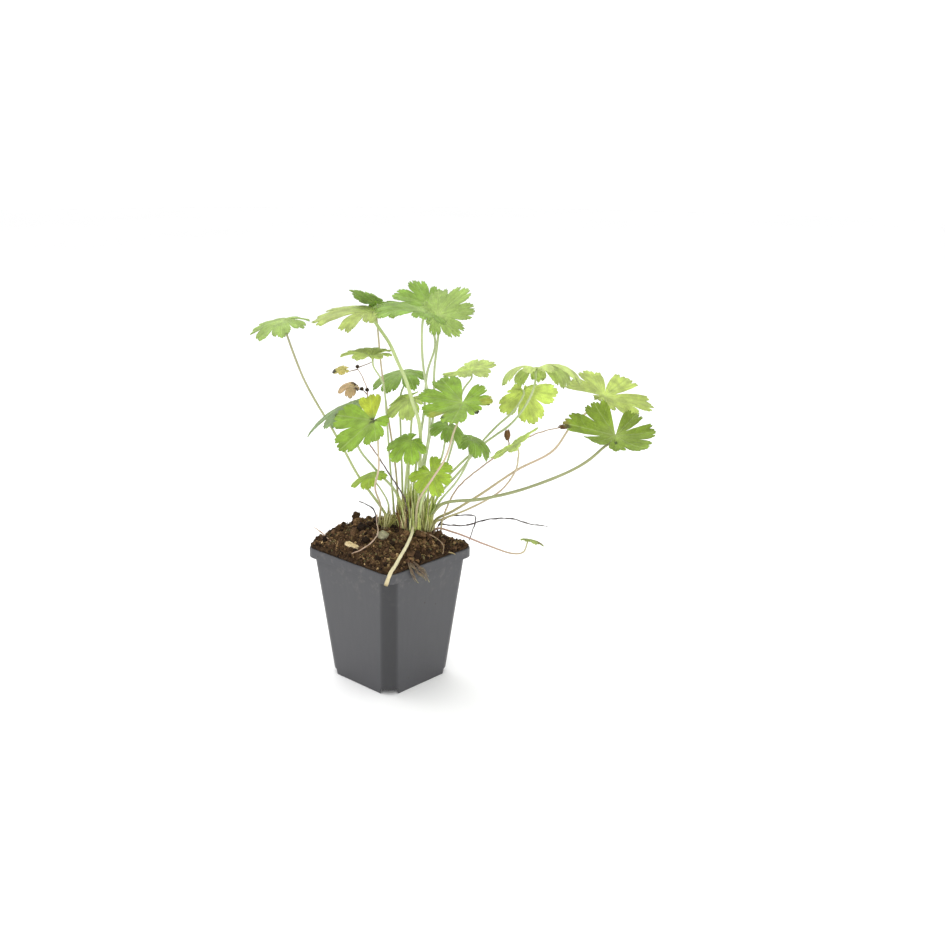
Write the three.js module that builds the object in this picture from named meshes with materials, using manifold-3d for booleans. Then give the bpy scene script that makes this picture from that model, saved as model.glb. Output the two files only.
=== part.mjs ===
// Hardy geranium (cranesbill) grown in a square nursery pot, with its soil.
// Millimetres, +Z up. The origin is the middle of the pot's foot, on the surface it stands on,
// and the pot's faces lie along X and Y.
// The plant is drawn in a frame of its own: u to the right, v away from its front, w up.
// That frame is turned about the pot's axis, so that the plant's front looks over a corner of the pot.
import * as THREE from "three";
import { mergeVertices } from "three/addons/utils/BufferGeometryUtils.js";
import Module from "manifold-3d";

const wasm = await Module();
wasm.setup();

// ---------------------------------------------------------------- driving dimensions
const plantTurn = THREE.MathUtils.degToRad(43.5); // from the pot's X to the plant's u
const fit = 0.35; // clearance between pieces that touch
const pot = {
  height: 97.5,
  rimWidth: 86,
  rimHeight: 7,
  rimThick: 1.6,
  topWidth: 82, // across the wall just under the rim
  footWidth: 63.5,
  wall: 1.6,
  // how far along each side a corner starts, and its bow as a share of that
  rimCorner: { cut: 7.7, bow: 0.293 },
  wallCorner: { cut: 8.9, bow: 0.2 },
  notch: { height: 4, width: 12.5, start: 31 }, // the floor's raised corners, and how far out they start
  drain: { radius: 2.2, out: 35.4 }, // the hole in each raised corner
};
const soil = {
  lip: 97.8, // underside of the soil that lies on the rim
  edge: 99.6, // surface at the rim
  dome: 12.5, // rise from the rim to the middle
  halfWidth: 42.3,
  corner: { cut: 7.2, bow: 0.293 },
  rings: 7,
  crumbs: 32,
};
const crown = { u: 10, v: 8, radius: 7.6, bottom: 99, shoulder: 113.5, top: 118, sheaths: 8 };
const shootFans = [
  { name: "young_shoots_left", u: -3, v: -4, low: 113, radius: 3.4, count: 5, height: 13, lean: 4 },
  { name: "young_shoots_right", u: 27, v: -7, low: 110.5, radius: 3.6, count: 6, height: 18, lean: 5 },
];
const stalk = { foot: 105, ground: 113, neck: 5, sides: 6, step: 21 };
const blade = { thick: 0.7, fold: 0.05, heel: 2, cleftWidth: 0.2 };

const leafGreen = "#7fb23a";
const darkGreen = "#4f8f38";
const paleGreen = "#b5d56a";
const stalkGreen = "#b3c283";
const stalkPink = "#b79a86";
const dryBrown = "#8a6f4e";

// One entry per leaf. joint is where the stalk meets the blade. turn is the heading of the middle
// lobe in the plant's frame, tilt lowers that end of the blade and roll lifts the side to its left.
// reach is the middle lobe's length and rise the slope at which the lobes leave the joint. bends and
// lengths give each lobe's droop and its share of the reach, from the rightmost lobe to the leftmost.
// foot is the stalk's place in the crown, and via what it passes on its way up. sunk is how much
// deeper a stalk starts where the soil is low, and clefts are deeper gaps between two lobes.
const leaves = [
  { name: "far_left", joint: [-75, 20, 257], turn: 175, tilt: 11, roll: -3,
    reach: 29, rise: 4, bends: [38, 30, 22, 32, 45, 38, 38],
    lengths: [0.7, 0.75, 0.95, 0.9, 0.85, 0.9, 0.7],
    foot: [-2, 15], via: [[-24, 18, 146], [-34, 19, 165], [-45, 20, 185], [-52, 20, 197], [-62, 20, 217]],
    thick: 1.8, green: leafGreen, stalk: stalkPink },
  { name: "top_left", joint: [-10, -12, 269], turn: 175, tilt: 4, roll: 2,
    reach: 46, rise: 8, bends: [32, 24, 18, 30, 68, 34, 32],
    lengths: [0.45, 0.7, 1.05, 0.95, 0.6, 0.5, 0.42],
    foot: [11, 5], via: [[21, 1, 147], [21.3, -0.5, 165], [21.8, -4, 180.5], [20.6, -15, 195],
      [16.5, -21.5, 210], [11.5, -15, 224], [6, -10, 235], [0.5, -10, 247.5]],
    thick: 2.6, green: leafGreen, stalk: stalkGreen, clefts: { 3: 0.6, 4: 0.45 } },
  { name: "top_front", joint: [25, -42, 273], turn: 170, tilt: -16, roll: 7,
    reach: 41, rise: 12, bends: [40, 40, 35, 45, 50, 35, 40],
    lengths: [0.42, 0.5, 1, 0.86, 0.95, 0.5, 0.45],
    foot: [16, -3], via: [[22, -4, 156], [27, -8, 178], [28, -18, 205], [24, -28, 234], [23, -38, 252]],
    thick: 1.8, green: leafGreen, stalk: stalkGreen },
  { name: "top_back", joint: [27, 34, 266], turn: 119, tilt: -28, roll: 0,
    reach: 28, rise: 8, bends: [10, 10, 20, 0, 25, 10, 10],
    lengths: [0.6, 0.85, 0.95, 0.95, 1, 0.85, 0.6],
    foot: [16, 15], via: [[18, 13, 151], [24, 13, 195], [26, 15, 222], [31.5, 22, 241]],
    thick: 1.8, green: leafGreen, stalk: stalkGreen },
  { name: "top_right", joint: [33, -6, 266], turn: -16, tilt: -10, roll: 40,
    reach: 27, rise: 6, bends: [20, 25, 25, 15, 15, 15, 15],
    lengths: [0.35, 0.6, 0.95, 0.98, 1.08, 0.9, 0.65],
    foot: [20, 11], via: [[24, 7, 153], [31, 3, 198], [31, 1, 225], [33, -1, 246]],
    thick: 1.8, green: leafGreen, stalk: stalkGreen },
  { name: "small_high", joint: [-10, -26, 240.6], turn: 190, tilt: 2, roll: 2, fused: true,
    reach: 24, rise: 34, bends: [50, 50, 52, 56, 58, 58, 55],
    lengths: [0.7, 0.85, 0.85, 0.95, 0.8, 0.72, 0.62],
    foot: [3, 13], via: [[0, 14, 151], [-2, 3.2, 190], [-3.8, -15, 221]],
    thick: 1.4, green: leafGreen },
  { name: "dark_arch", joint: [10, 30, 218], turn: 190, tilt: 8, roll: 0,
    reach: 29, rise: 14, bends: [65, 60, 60, 65, 60, 65, 60],
    lengths: [0.65, 0.85, 1, 0.95, 0.95, 0.85, 0.62],
    foot: [9, 18], via: [[8, 21, 149], [7, 25, 177], [7, 28, 203]],
    thick: 1.6, green: darkGreen, stalk: stalkGreen },
  { name: "yellow_lobe", joint: [-9, -40, 201], turn: 204, tilt: 38, roll: -20,
    reach: 28, rise: 4, bends: [-10, 0, 5, -5, 20],
    lengths: [0.75, 1.1, 1.1, 0.75, 0.42],
    foot: [-8, 0], via: [[-6, -12, 132], [-9, -26, 150], [-6, -34, 166], [-6, -38, 179]],
    thick: 1.4, green: leafGreen, stalk: stalkPink },
  { name: "grey_edge", joint: [-26, 2, 203], turn: 190, tilt: 19, roll: 7,
    reach: 40, rise: 4, bends: [40, 40, 40, 35, 40],
    lengths: [0.5, 0.5, 1, 0.9, 0.35],
    foot: [5, 4], via: [[5, 5, 135], [-10, 9, 152], [-23, 9, 170]],
    thick: 1.8, green: darkGreen, stalk: stalkGreen },
  { name: "light_mid", joint: [13.8, 5, 205.5], turn: 205, tilt: 21, roll: -3,
    reach: 31, rise: 6, bends: [35, 35, 45, 35, 35],
    lengths: [0.45, 0.6, 0.68, 0.8, 0.4],
    foot: [12.6, 21.5], via: [[13, 20, 150], [14.5, 14, 178], [15.5, 9, 194]],
    thick: 1.8, green: paleGreen, stalk: stalkGreen },
  { name: "big_front", joint: [50, -45, 215], turn: 257, tilt: 19, roll: 2,
    reach: 34, rise: 4, bends: [5, -5, 0, -10, 15, 5, -10],
    lengths: [1.05, 0.9, 0.85, 1, 0.5, 0.6, 0.6],
    foot: [19, -10], via: [[21, -32, 142], [31, -48, 164], [39, -50, 178], [45, -47, 197]],
    thick: 1.5, green: leafGreen, stalk: stalkPink },
  { name: "pale_upper", joint: [56, 6, 226], turn: -12, tilt: -14, roll: 8,
    reach: 23, rise: 8, bends: [0, 15, 25, 15, 5, 15, 25],
    lengths: [0.9, 0.66, 0.95, 0.82, 0.7, 0.9, 0.62],
    foot: [22, 18], via: [[36, 24, 140], [47, 22, 179], [51, 14, 209]],
    thick: 1.6, green: paleGreen, stalk: stalkGreen },
  { name: "dark_mid", joint: [15, -10, 179], turn: 222, tilt: 21, roll: -12,
    reach: 21, rise: 6, bends: [30, 45, 45, 50, 40, 50, 50],
    lengths: [0.5, 0.75, 0.9, 1, 1.05, 0.7, 0.4],
    foot: [10, 11], via: [[11, 5, 140], [13, -4, 162]],
    thick: 1.8, green: darkGreen, stalk: stalkGreen },
  { name: "arch_left", joint: [41, -25, 194], turn: 268, tilt: 13, roll: -16,
    reach: 17, rise: 12, bends: [60, 75, 70, 60, 80, 70, 60],
    lengths: [0.62, 0.83, 0.95, 1, 0.97, 0.87, 0.62],
    foot: [22, 6], via: [[25, 3, 139], [36, -6, 164], [39, -18, 182]],
    thick: 1.6, green: darkGreen, stalk: stalkGreen },
  { name: "arch_right", joint: [57, -10, 181], turn: 335, tilt: 20, roll: -4,
    reach: 20, rise: 12, bends: [80, 70, 65, 85, 65, 65, 65],
    lengths: [0.55, 0.82, 1, 1.04, 1.04, 0.85, 0.62],
    foot: [27, 3], via: [[35, 0, 131], [48, -4, 149], [56, -7, 167]],
    thick: 1.6, green: darkGreen, stalk: stalkGreen },
  { name: "folded_right", joint: [86, -28, 182], turn: 10, tilt: -33, roll: -12,
    reach: 22, rise: 2, bends: [0, 10, 5, 0, 5, 10, 5],
    lengths: [0.9, 0.85, 0.6, 0.9, 0.7, 0.85, 1],
    foot: [31, 6], via: [[39, 5, 117.5], [56, 4, 125], [78, -4, 141], [88, -16, 160], [89, -24, 171]],
    thick: 1.4, green: paleGreen, stalk: stalkPink },
  { name: "bright_low", joint: [29, -22, 160], turn: 294, tilt: 38, roll: 14, fused: true,
    reach: 20, rise: 4, bends: [20, 30, 25, 20, 25, 30, 10],
    lengths: [0.4, 0.8, 0.9, 1, 0.8, 0.87, 0.7],
    foot: [21, -3], via: [[23, -11, 136], [27, -14, 146]],
    thick: 1.8, green: leafGreen },
  { name: "right_hang", joint: [93.2, 3, 212.5], turn: 43, tilt: 65, roll: -44,
    reach: 28.5, rise: 6, bends: [10, -12, 25, 20, 10],
    lengths: [0.15, 0.9, 0.95, 0.8, 0.3],
    foot: [27, 9], via: [[34, 12, 131], [50, 12, 151], [65.7, 9, 174], [75.7, 4, 187],
      [84.6, -1, 196.8], [90, -4, 205]],
    thick: 1.8, green: paleGreen, stalk: stalkGreen },
  { name: "right_arch", joint: [101.3, 4, 226.5], turn: 345, tilt: -7, roll: -20,
    reach: 40, rise: 34, bends: [120, 100, 100, 108, 120, 110, 125],
    lengths: [0.8, 0.3, 0.3, 1, 0.8, 0.45, 0.62],
    foot: [28, 14], via: [[33, 16, 135], [48, 16, 153], [64, 13, 169], [75, 5, 180], [84, -5, 190],
      [92, -10, 201.5], [98, -10, 213]],
    thick: 1.8, green: leafGreen, stalk: stalkGreen },
  { name: "far_right", joint: [151, 14, 206], turn: 12, tilt: 10, roll: 18,
    reach: 39, rise: 4, bends: [-5, 15, 20, 15, 0, 10, 20],
    lengths: [0.3, 0.45, 0.68, 1, 1, 0.95, 0.75],
    foot: [32, 12], sunk: 5, via: [[45, 11, 121], [64, 12, 133], [91, 13, 152], [116, 14, 166],
      [129, 14, 185], [143, 15, 197]],
    thick: 1.8, green: paleGreen, stalk: stalkPink, clefts: { 4: 0.3, 5: 0.4 } },
  { name: "front_right", joint: [154, -30, 189.5], turn: 263, tilt: 34, roll: -5,
    reach: 34, rise: 4, bends: [-20, -5, -40, -30, -40, -15, -10],
    lengths: [0.85, 1.08, 0.75, 0.6, 0.9, 0.8, 0.7],
    foot: [27, -1], via: [[36, -6, 131], [65, -22, 141], [92, -31, 151], [124, -33, 165],
      [137, -32, 173], [147, -31, 182]],
    thick: 2.2, green: leafGreen, stalk: stalkGreen, clefts: { 2: 0.4, 3: 0.5, 6: 0.45 } },
  { name: "low_left", joint: [-12, -4, 153], turn: 193, tilt: 16, roll: 3, fused: true,
    reach: 18, rise: 6, bends: [50, 50, 40, 55, 45],
    lengths: [0.75, 0.95, 1, 0.96, 0.74],
    foot: [-3, 7], via: [[-1, 3, 128], [-7, -1, 142]],
    thick: 1.4, green: leafGreen },
];

// A small folded leaf has grown into the top left one. Its own stalk ends under that blade.
const foldedLeaf = {
  joint: [-10, 2, 273], turn: 200, tilt: -34, roll: 16, reach: 20, rise: 2,
  bends: [10, 0, 15, 10, 10], lengths: [0.75, 0.95, 1, 0.95, 0.75],
  stalkPoints: [[6, 12, 105], [6, 12, 113], [4, 10, 152], [-2, 7, 197], [-6, 5, 230], [-8, 3, 255],
    [-9, 1, 267]],
  thick: 1.4,
};

// Dead and withered parts, as the points that each passes
const drySpray = {
  thick: 1.3,
  stem: [[13, -5, 105], [13, -5, 120], [11, -4, 134], [-1, 3, 152], [-9, 6, 164], [-15, 5, 174],
    [-17, 4, 191], [-15.5, 5, 210], [-19, 10, 219], [-23, 14, 225]],
  twigs: [
    [[-15.6, 5, 208], [-19, 8, 210.5], [-22.5, 10, 210.5]],
    [[-23, 14, 224], [-28, 13, 223], [-32, 12, 223]],
  ],
  bud: { at: [-23, 14, 226], size: [2, 1.6, 2.2] },
};
const witheredLeaves = [
  { name: "withered_leaf_tan", joint: [-24.6, 10.7, 212.2], turn: 190, tilt: 6, roll: -18,
    reach: 14.5, rise: 40, bends: [110, 110, 105, 110, 95], lengths: [0.3, 0.8, 1, 0.9, 0.3],
    colour: "#c9a878" },
  { name: "withered_leaf_yellow", joint: [-31.5, 12, 224.2], turn: 184, tilt: 8, roll: -25,
    reach: 9.5, rise: 18, bends: [50, 40, 48, 40, 50], lengths: [0.4, 0.65, 1, 0.65, 0.4],
    colour: "#d8c25a" },
];
const flowerStem = {
  thick: 1.3,
  stem: [[37, 2, 104], [37, 2, 114], [47, 7, 138], [67, 4, 158], [83, 0, 171], [100, -3, 182],
    [112, -6, 187], [119, -8, 189]],
  pedicel: [[83, 0, 171], [84, 1, 175], [82.8, 0, 178.5]],
  bud: { at: [82.5, 0, 181], size: [2.2, 2.2, 4] },
  husk: { at: [120.5, -8.5, 189.5], size: [4, 2.2, 1.8] },
};
const deadStalks = {
  thick: 1.1,
  bent: [[34, 7, 104], [35, 7, 112], [42, 8, 117.5], [52, 8, 119], [61, 6, 119], [61.5, 5, 116],
    [59, 3, 108], [57, 1, 102]],
  long: [[34, 7, 104], [35, 6, 112], [44, 3, 113], [54, 0, 114], [70, -4, 120], [87, -8, 122],
    [99, -10, 119], [112, -12, 118]],
  left: [[-11, 6, 104], [-10, 6, 114], [-12, 5, 124], [-22, 2, 131]],
};
const runner = {
  thick: 1.3,
  points: [[31, -1, 104], [33, -2, 112], [47, -5, 110], [68, -9, 103], [88, -14, 98], [95, -16, 100],
    [98, -17, 109]],
  leaf: { joint: [98, -17, 109.5], turn: 10, tilt: 14, roll: -14, reach: 13, rise: 16,
    bends: [50, 60, 55, 50, 60], lengths: [0.5, 0.7, 1, 0.75, 0.5] },
};
const brokenStem = {
  thick: 2.6,
  points: [[17, -8, 117], [16.2, -17, 113.5], [12.4, -32, 108.6], [8.6, -42.5, 105], [5.6, -51, 101.8],
    [3.1, -58.9, 100.5], [1.2, -62.3, 96.4], [-0.2, -63.3, 92.4]],
};
const rootFringe = {
  thick: 1.2,
  // in the pot's own frame: out of the soil, over the rim of the +X side and down past it
  strands: [
    [[36, -18, 103], [41, -20, 101.5], [44.4, -20, 99], [44.4, -15, 93], [43.8, -9, 88]],
    [[36, -18, 103], [41, -19, 101.5], [44.5, -16, 98.5], [44.5, -9.5, 91], [43, -3.5, 83]],
    [[36, -18, 103], [41, -21.5, 101.5], [44.4, -23, 98], [44.4, -20, 92], [43.4, -15.5, 86]],
  ],
};
const pebble = { u: -4.2, v: -17, rise: 1.6, size: [5.6, 3.8, 3.5] };
const woodChip = { u: -25.5, v: -23, rise: 1.1, size: [13, 4.4, 2.4], turn: -42 };

// ---------------------------------------------------------------- helpers
const vector = (p) => new THREE.Vector3(...p);

function seeded(seed) {
  let state = seed;
  return () => {
    state = (state * 1664525 + 1013904223) % 4294967296;
    return state / 4294967296;
  };
}

function toSolid(geometry) {
  const bare = new THREE.BufferGeometry();
  bare.setAttribute("position", geometry.getAttribute("position"));
  bare.setIndex(geometry.getIndex());
  const merged = mergeVertices(bare, 1e-4);
  return new wasm.Manifold(new wasm.Mesh({
    numProp: 3,
    vertProperties: new Float32Array(merged.getAttribute("position").array),
    triVerts: new Uint32Array(merged.getIndex().array),
  }));
}

function toGeometry(solid) {
  const mesh = solid.getMesh();
  const geometry = new THREE.BufferGeometry();
  geometry.setAttribute("position", new THREE.BufferAttribute(new Float32Array(mesh.vertProperties), 3));
  geometry.setIndex(new THREE.BufferAttribute(new Uint32Array(mesh.triVerts), 1));
  geometry.computeVertexNormals();
  return geometry;
}

const join = (solids) => solids.reduce((all, one) => all.add(one));

// the largest of the bodies that a cut leaves
function biggest(solid) {
  const bodies = solid.decompose();
  return bodies.reduce((best, one) => (one.volume() > best.volume() ? one : best));
}

// a closed skin over loops of equal count, with a flat fan at each end
function loft(loops) {
  const count = loops[0].length;
  const points = loops.flat();
  const index = [];
  for (let ring = 0; ring + 1 < loops.length; ring += 1) {
    for (let k = 0; k < count; k += 1) {
      const a = ring * count + k;
      const b = ring * count + ((k + 1) % count);
      index.push(a, b, b + count, a, b + count, a + count);
    }
  }
  [loops[0], loops.at(-1)].forEach((loop, end) => {
    const middle = loop.reduce((sum, p) => sum.add(p), new THREE.Vector3()).divideScalar(count);
    const centre = points.push(middle) - 1;
    const first = end ? (loops.length - 1) * count : 0;
    for (let k = 0; k < count; k += 1) {
      const a = first + k;
      const b = first + ((k + 1) % count);
      index.push(centre, end ? a : b, end ? b : a);
    }
  });
  const geometry = new THREE.BufferGeometry().setFromPoints(points);
  geometry.setIndex(index);
  return geometry;
}

// a square with bowed corners, counter-clockwise, at height z
function squareLoop(half, { cut, bow }, z, cornerSteps = 4, sideSteps = 1) {
  const corner = Array.from({ length: cornerSteps + 1 }, (_, k) => {
    const share = k / cornerSteps;
    const out = cut * bow * (1 - (2 * share - 1) ** 2) * Math.SQRT1_2;
    return new THREE.Vector3(half - cut * share + out, half - cut * (1 - share) + out, z);
  });
  const side = Array.from({ length: sideSteps - 1 }, (_, k) =>
    new THREE.Vector3(THREE.MathUtils.lerp(half - cut, cut - half, (k + 1) / sideSteps), half, z));
  return [0, 1, 2, 3].flatMap((quarter) => [...corner, ...side].map((p) =>
    p.clone().applyAxisAngle(new THREE.Vector3(0, 0, 1), (quarter * Math.PI) / 2)));
}

// the corner of the loop that lies inset from such a loop
const insetCorner = ({ cut, bow }, inset) => ({ cut: cut - inset * (2 - Math.SQRT2), bow });

// a round stem along a smooth curve through the points. grow thickens it all round and past its foot
function tube(points, thick, grow = 0) {
  const curve = new THREE.CatmullRomCurve3(points.map(vector));
  const steps = Math.max(4, Math.round(curve.getLength() / stalk.step) + 2);
  const { tangents, normals, binormals } = curve.computeFrenetFrames(steps, false);
  return loft(tangents.map((tangent, k) => {
    const centre = curve.getPointAt(k / steps);
    if (k === 0) centre.addScaledVector(tangent, -grow);
    return Array.from({ length: stalk.sides }, (_, side) => {
      const angle = (side / stalk.sides) * 2 * Math.PI;
      return centre.clone()
        .addScaledVector(normals[k], Math.cos(angle) * (thick / 2 + grow))
        .addScaledVector(binormals[k], Math.sin(angle) * (thick / 2 + grow));
    });
  }));
}

const stemHole = (points, thick) => toSolid(tube(points, thick, fit));

// a round stub between two points, from its wide foot to its narrow end
function taperedStub(from, to, wide, narrow) {
  const axis = vector(to).sub(vector(from));
  const geometry = new THREE.CylinderGeometry(narrow, wide, axis.length(), 5);
  geometry.translate(0, axis.length() / 2, 0);
  const lean = new THREE.Quaternion().setFromUnitVectors(new THREE.Vector3(0, 1, 0), axis.normalize());
  geometry.applyQuaternion(lean);
  geometry.translate(...from);
  return geometry;
}

function ball({ at, size }, detail = 1) {
  const geometry = new THREE.IcosahedronGeometry(1, detail);
  geometry.scale(...size);
  geometry.translate(...at);
  return geometry;
}

// ---------------------------------------------------------------- leaves
const lobeSpread = { 5: 62, 7: 48 }; // degrees from lobe to lobe
// outline across one lobe: place across it from -1 to 1, and share of the lobe's length
const lobeOutline = [[-1, 0.4], [-0.88, 0.74], [-0.56, 0.94], [-0.34, 0.87], [0, 1], [0.34, 0.87],
  [0.56, 0.94], [0.88, 0.74]];
const innerOutline = [[-1, 0.26], [0, 0.58]];
const coreOutline = [[-1, 0.13], [0, 0.24]];
const sinus = [0.3, 0.2, 0.1]; // share of the length where the blade's two back edges start, ring by ring

function leafPoint(leaf, lobe, across, share) {
  const count = leaf.bends.length;
  const spread = lobeSpread[count];
  const place = THREE.MathUtils.clamp(lobe + across / 2, 0, count - 1);
  const low = Math.min(Math.floor(place), count - 2);
  const blend = THREE.MathUtils.smoothstep(place - low, 0, 1);
  const length = leaf.reach * THREE.MathUtils.lerp(leaf.lengths[low], leaf.lengths[low + 1], blend);
  const bend = THREE.MathUtils.degToRad(THREE.MathUtils.lerp(leaf.bends[low], leaf.bends[low + 1], blend));
  const curl = (Math.abs(bend) < 0.01 ? 0.01 : bend) / length; // the lobe droops along a circular arc
  const start = THREE.MathUtils.degToRad(leaf.rise);
  const slope = curl * share * length - start;
  const out = (Math.sin(slope) + Math.sin(start)) / curl;
  const down = (Math.cos(start) - Math.cos(slope)) / curl;
  const keel = blade.fold * leaf.reach * share * (Math.abs(across) - 0.4);
  const angle = THREE.MathUtils.degToRad(spread * (lobe - (count - 1) / 2 + across / 2));
  return new THREE.Vector3(out * Math.cos(angle), out * Math.sin(angle), keel - down);
}

// the share of the lobe's length that a deeper gap leaves at a place across the blade
function cleft(leaf, place) {
  return Object.entries(leaf.clefts ?? {}).reduce((share, [lobe, depth]) => {
    const away = 2 * Math.abs(place - lobe + 0.5) / blade.cleftWidth;
    return away > 1 ? share : share * Math.sqrt(depth) ** (away < 0.5 ? 2 : 1);
  }, 1);
}

// one ring of the blade, from its right back edge round to its left back edge
function leafRing(leaf, outline, edge) {
  const count = leaf.bends.length;
  const ring = [];
  for (let lobe = 0; lobe < count; lobe += 1) {
    for (const [across, share] of outline) {
      const first = lobe === 0 && across === -1;
      const reach = first ? edge : share * cleft(leaf, lobe + across / 2);
      ring.push({ place: lobe + across / 2, point: leafPoint(leaf, lobe, across, reach) });
    }
  }
  ring.push({ place: count - 0.5, point: leafPoint(leaf, count - 1, 1, edge) });
  return ring;
}

// triangles between an outer and an inner ring that run alongside each other
function stitch(outer, inner, outerStart, innerStart) {
  const faces = [];
  let i = 0;
  let j = 0;
  while (i + 1 < outer.length || j + 1 < inner.length) {
    const outerNext = i + 1 < outer.length ? outer[i + 1].place : Infinity;
    const innerNext = j + 1 < inner.length ? inner[j + 1].place : Infinity;
    if (outerNext <= innerNext) {
      faces.push([outerStart + i, outerStart + i + 1, innerStart + j]);
      i += 1;
    } else {
      faces.push([outerStart + i, innerStart + j + 1, innerStart + j]);
      j += 1;
    }
  }
  return faces;
}

// a thin lobed blade in its own frame: the joint at the origin and the middle lobe along +X
function leafBlade(leaf) {
  const outlines = [lobeOutline, innerOutline, coreOutline];
  const rings = outlines.map((outline, k) => leafRing(leaf, outline, sinus[k]));
  const [outer, inner, core] = rings;
  const points = rings.flat().map((entry) => entry.point);
  const innerStart = outer.length;
  const coreStart = innerStart + inner.length;
  const joint = points.push(new THREE.Vector3()) - 1;
  const heel = points.push(new THREE.Vector3(-blade.heel, 0, 0)) - 1;
  const faces = [...stitch(outer, inner, 0, innerStart), ...stitch(inner, core, innerStart, coreStart)];
  for (let k = 0; k + 1 < core.length; k += 1) faces.push([joint, coreStart + k, coreStart + k + 1]);
  const coreEnd = coreStart + core.length - 1;
  faces.push([joint, coreEnd, heel], [joint, heel, coreStart]);

  const sheet = new THREE.BufferGeometry().setFromPoints(points);
  sheet.setIndex(faces.flat());
  sheet.computeVertexNormals();
  const normals = sheet.getAttribute("normal");
  const skin = [1, -1].flatMap((side) => points.map((p, k) =>
    new THREE.Vector3().fromBufferAttribute(normals, k).multiplyScalar((side * blade.thick) / 2).add(p)));
  const under = points.length;
  const index = faces.flatMap(([a, b, c]) => [a, b, c, under + a, under + c, under + b]);
  const border = [...outer.keys()];
  border.push(innerStart + inner.length - 1, coreEnd, heel, coreStart, innerStart);
  border.forEach((a, k) => {
    const b = border[(k + 1) % border.length];
    index.push(b, a, under + a, b, under + a, under + b);
  });
  const geometry = new THREE.BufferGeometry().setFromPoints(skin);
  geometry.setIndex(index);
  geometry.computeVertexNormals();
  return geometry;
}

function leafPose(leaf) {
  const turns = [leaf.roll, leaf.tilt, leaf.turn].map(THREE.MathUtils.degToRad);
  return new THREE.Euler(...turns, "ZYX");
}

function posedBlade(leaf) {
  const geometry = leafBlade(leaf);
  const matrix = new THREE.Matrix4().makeRotationFromEuler(leafPose(leaf)).setPosition(...leaf.joint);
  return geometry.applyMatrix4(matrix);
}

function stalkPoints(leaf) {
  const up = new THREE.Vector3(0, 0, 1).applyEuler(leafPose(leaf));
  const joint = vector(leaf.joint);
  const gap = leaf.fused ? 0 : blade.thick / 2 + fit;
  const neck = joint.clone().addScaledVector(up, -stalk.neck);
  const top = joint.clone().addScaledVector(up, -gap);
  const [u, v] = leaf.foot;
  const foot = [u, v, stalk.foot - (leaf.sunk ?? 0)];
  return [foot, [u, v, stalk.ground], ...leaf.via, neck.toArray(), top.toArray()];
}

// ---------------------------------------------------------------- pot
function wallHalf(z) {
  const share = z / (pot.height - pot.rimHeight);
  return THREE.MathUtils.lerp(pot.footWidth / 2, pot.topWidth / 2, Math.min(share, 1));
}

// the tapering square block between two heights, inset from the pot's outer wall
function wallBlock(low, high, inset) {
  const corner = insetCorner(pot.wallCorner, inset);
  return toSolid(loft([low, high].map((z) => squareLoop(wallHalf(z) - inset, corner, z))));
}

// the straight square block between two heights, inset from the outside of the rim
function rimBlock(low, high, inset) {
  const corner = insetCorner(pot.rimCorner, inset);
  return toSolid(loft([low, high].map((z) => squareLoop(pot.rimWidth / 2 - inset, corner, z))));
}

// the blocks under the floor's raised corners, thicker by grow on every side
function cornerNotches(grow) {
  const { height, width, start } = pot.notch;
  return join(Array.from({ length: 4 }, (_, k) => {
    const block = new THREE.BoxGeometry(pot.footWidth, width + 2 * grow, 2 * (height + grow));
    block.translate(start - grow + pot.footWidth / 2, 0, 0);
    block.rotateZ((k * Math.PI) / 2 + Math.PI / 4);
    return toSolid(block);
  }));
}

// the space inside the walls and above the floor, from the floor up to a height
const inside = (top, clearance) =>
  wallBlock(pot.wall + clearance, top, pot.wall + clearance).subtract(cornerNotches(pot.wall + clearance));

function makePot() {
  const underRim = pot.height - pot.rimHeight;
  const clear = 1; // how far a cutting block passes the face that it cuts
  let body = wallBlock(0, underRim, 0);
  body = body.add(rimBlock(underRim - 0.01, pot.height, 0));
  body = body.subtract(inside(pot.height + clear, 0)).subtract(cornerNotches(0));
  // the rim is a lip turned down: hollow from below, between its skirt and the wall
  const skirt = rimBlock(underRim - clear, pot.height - pot.rimThick, pot.rimThick);
  body = body.subtract(skirt.subtract(wallBlock(underRim - 2 * clear, pot.height, 0)));
  for (let k = 0; k < 4; k += 1) {
    const hole = new THREE.CylinderGeometry(pot.drain.radius, pot.drain.radius, 4 * pot.notch.height, 12);
    hole.rotateX(Math.PI / 2);
    hole.translate(pot.drain.out, 0, 0);
    hole.rotateZ((k * Math.PI) / 2 + Math.PI / 4);
    body = body.subtract(toSolid(hole));
  }
  return biggest(body);
}

// ---------------------------------------------------------------- soil
const toPot = (u, v) => new THREE.Vector2(u, v).rotateAround(new THREE.Vector2(), plantTurn);

const mounds = [
  { at: toPot(-27, 20), height: 3.5, width: 14 },
  { at: toPot(-40, 0), height: 3, width: 12 },
  { at: toPot(40, 10), height: -3.2, width: 16 },
];

function soilHeight(x, y) {
  const rough = 0.9 * Math.sin(0.53 * x + 1.3) * Math.cos(0.47 * y) + 0.6 * Math.sin(1.13 * x - 0.9 * y);
  const lumps = mounds.reduce((sum, { at, height, width }) => {
    const away = Math.hypot(x - at.x, y - at.y) / width;
    return sum + height * Math.exp(-away * away);
  }, 0);
  const [slopeX, slopeY] = [x, y].map((value) => 1 - Math.abs(value / soil.halfWidth) ** 2.5);
  return Math.max(soil.edge + soil.dome * slopeX * slopeY + lumps + rough, soil.lip + 0.8);
}

const soilAt = (u, v) => {
  const { x, y } = toPot(u, v);
  return soilHeight(x, y);
};

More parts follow.
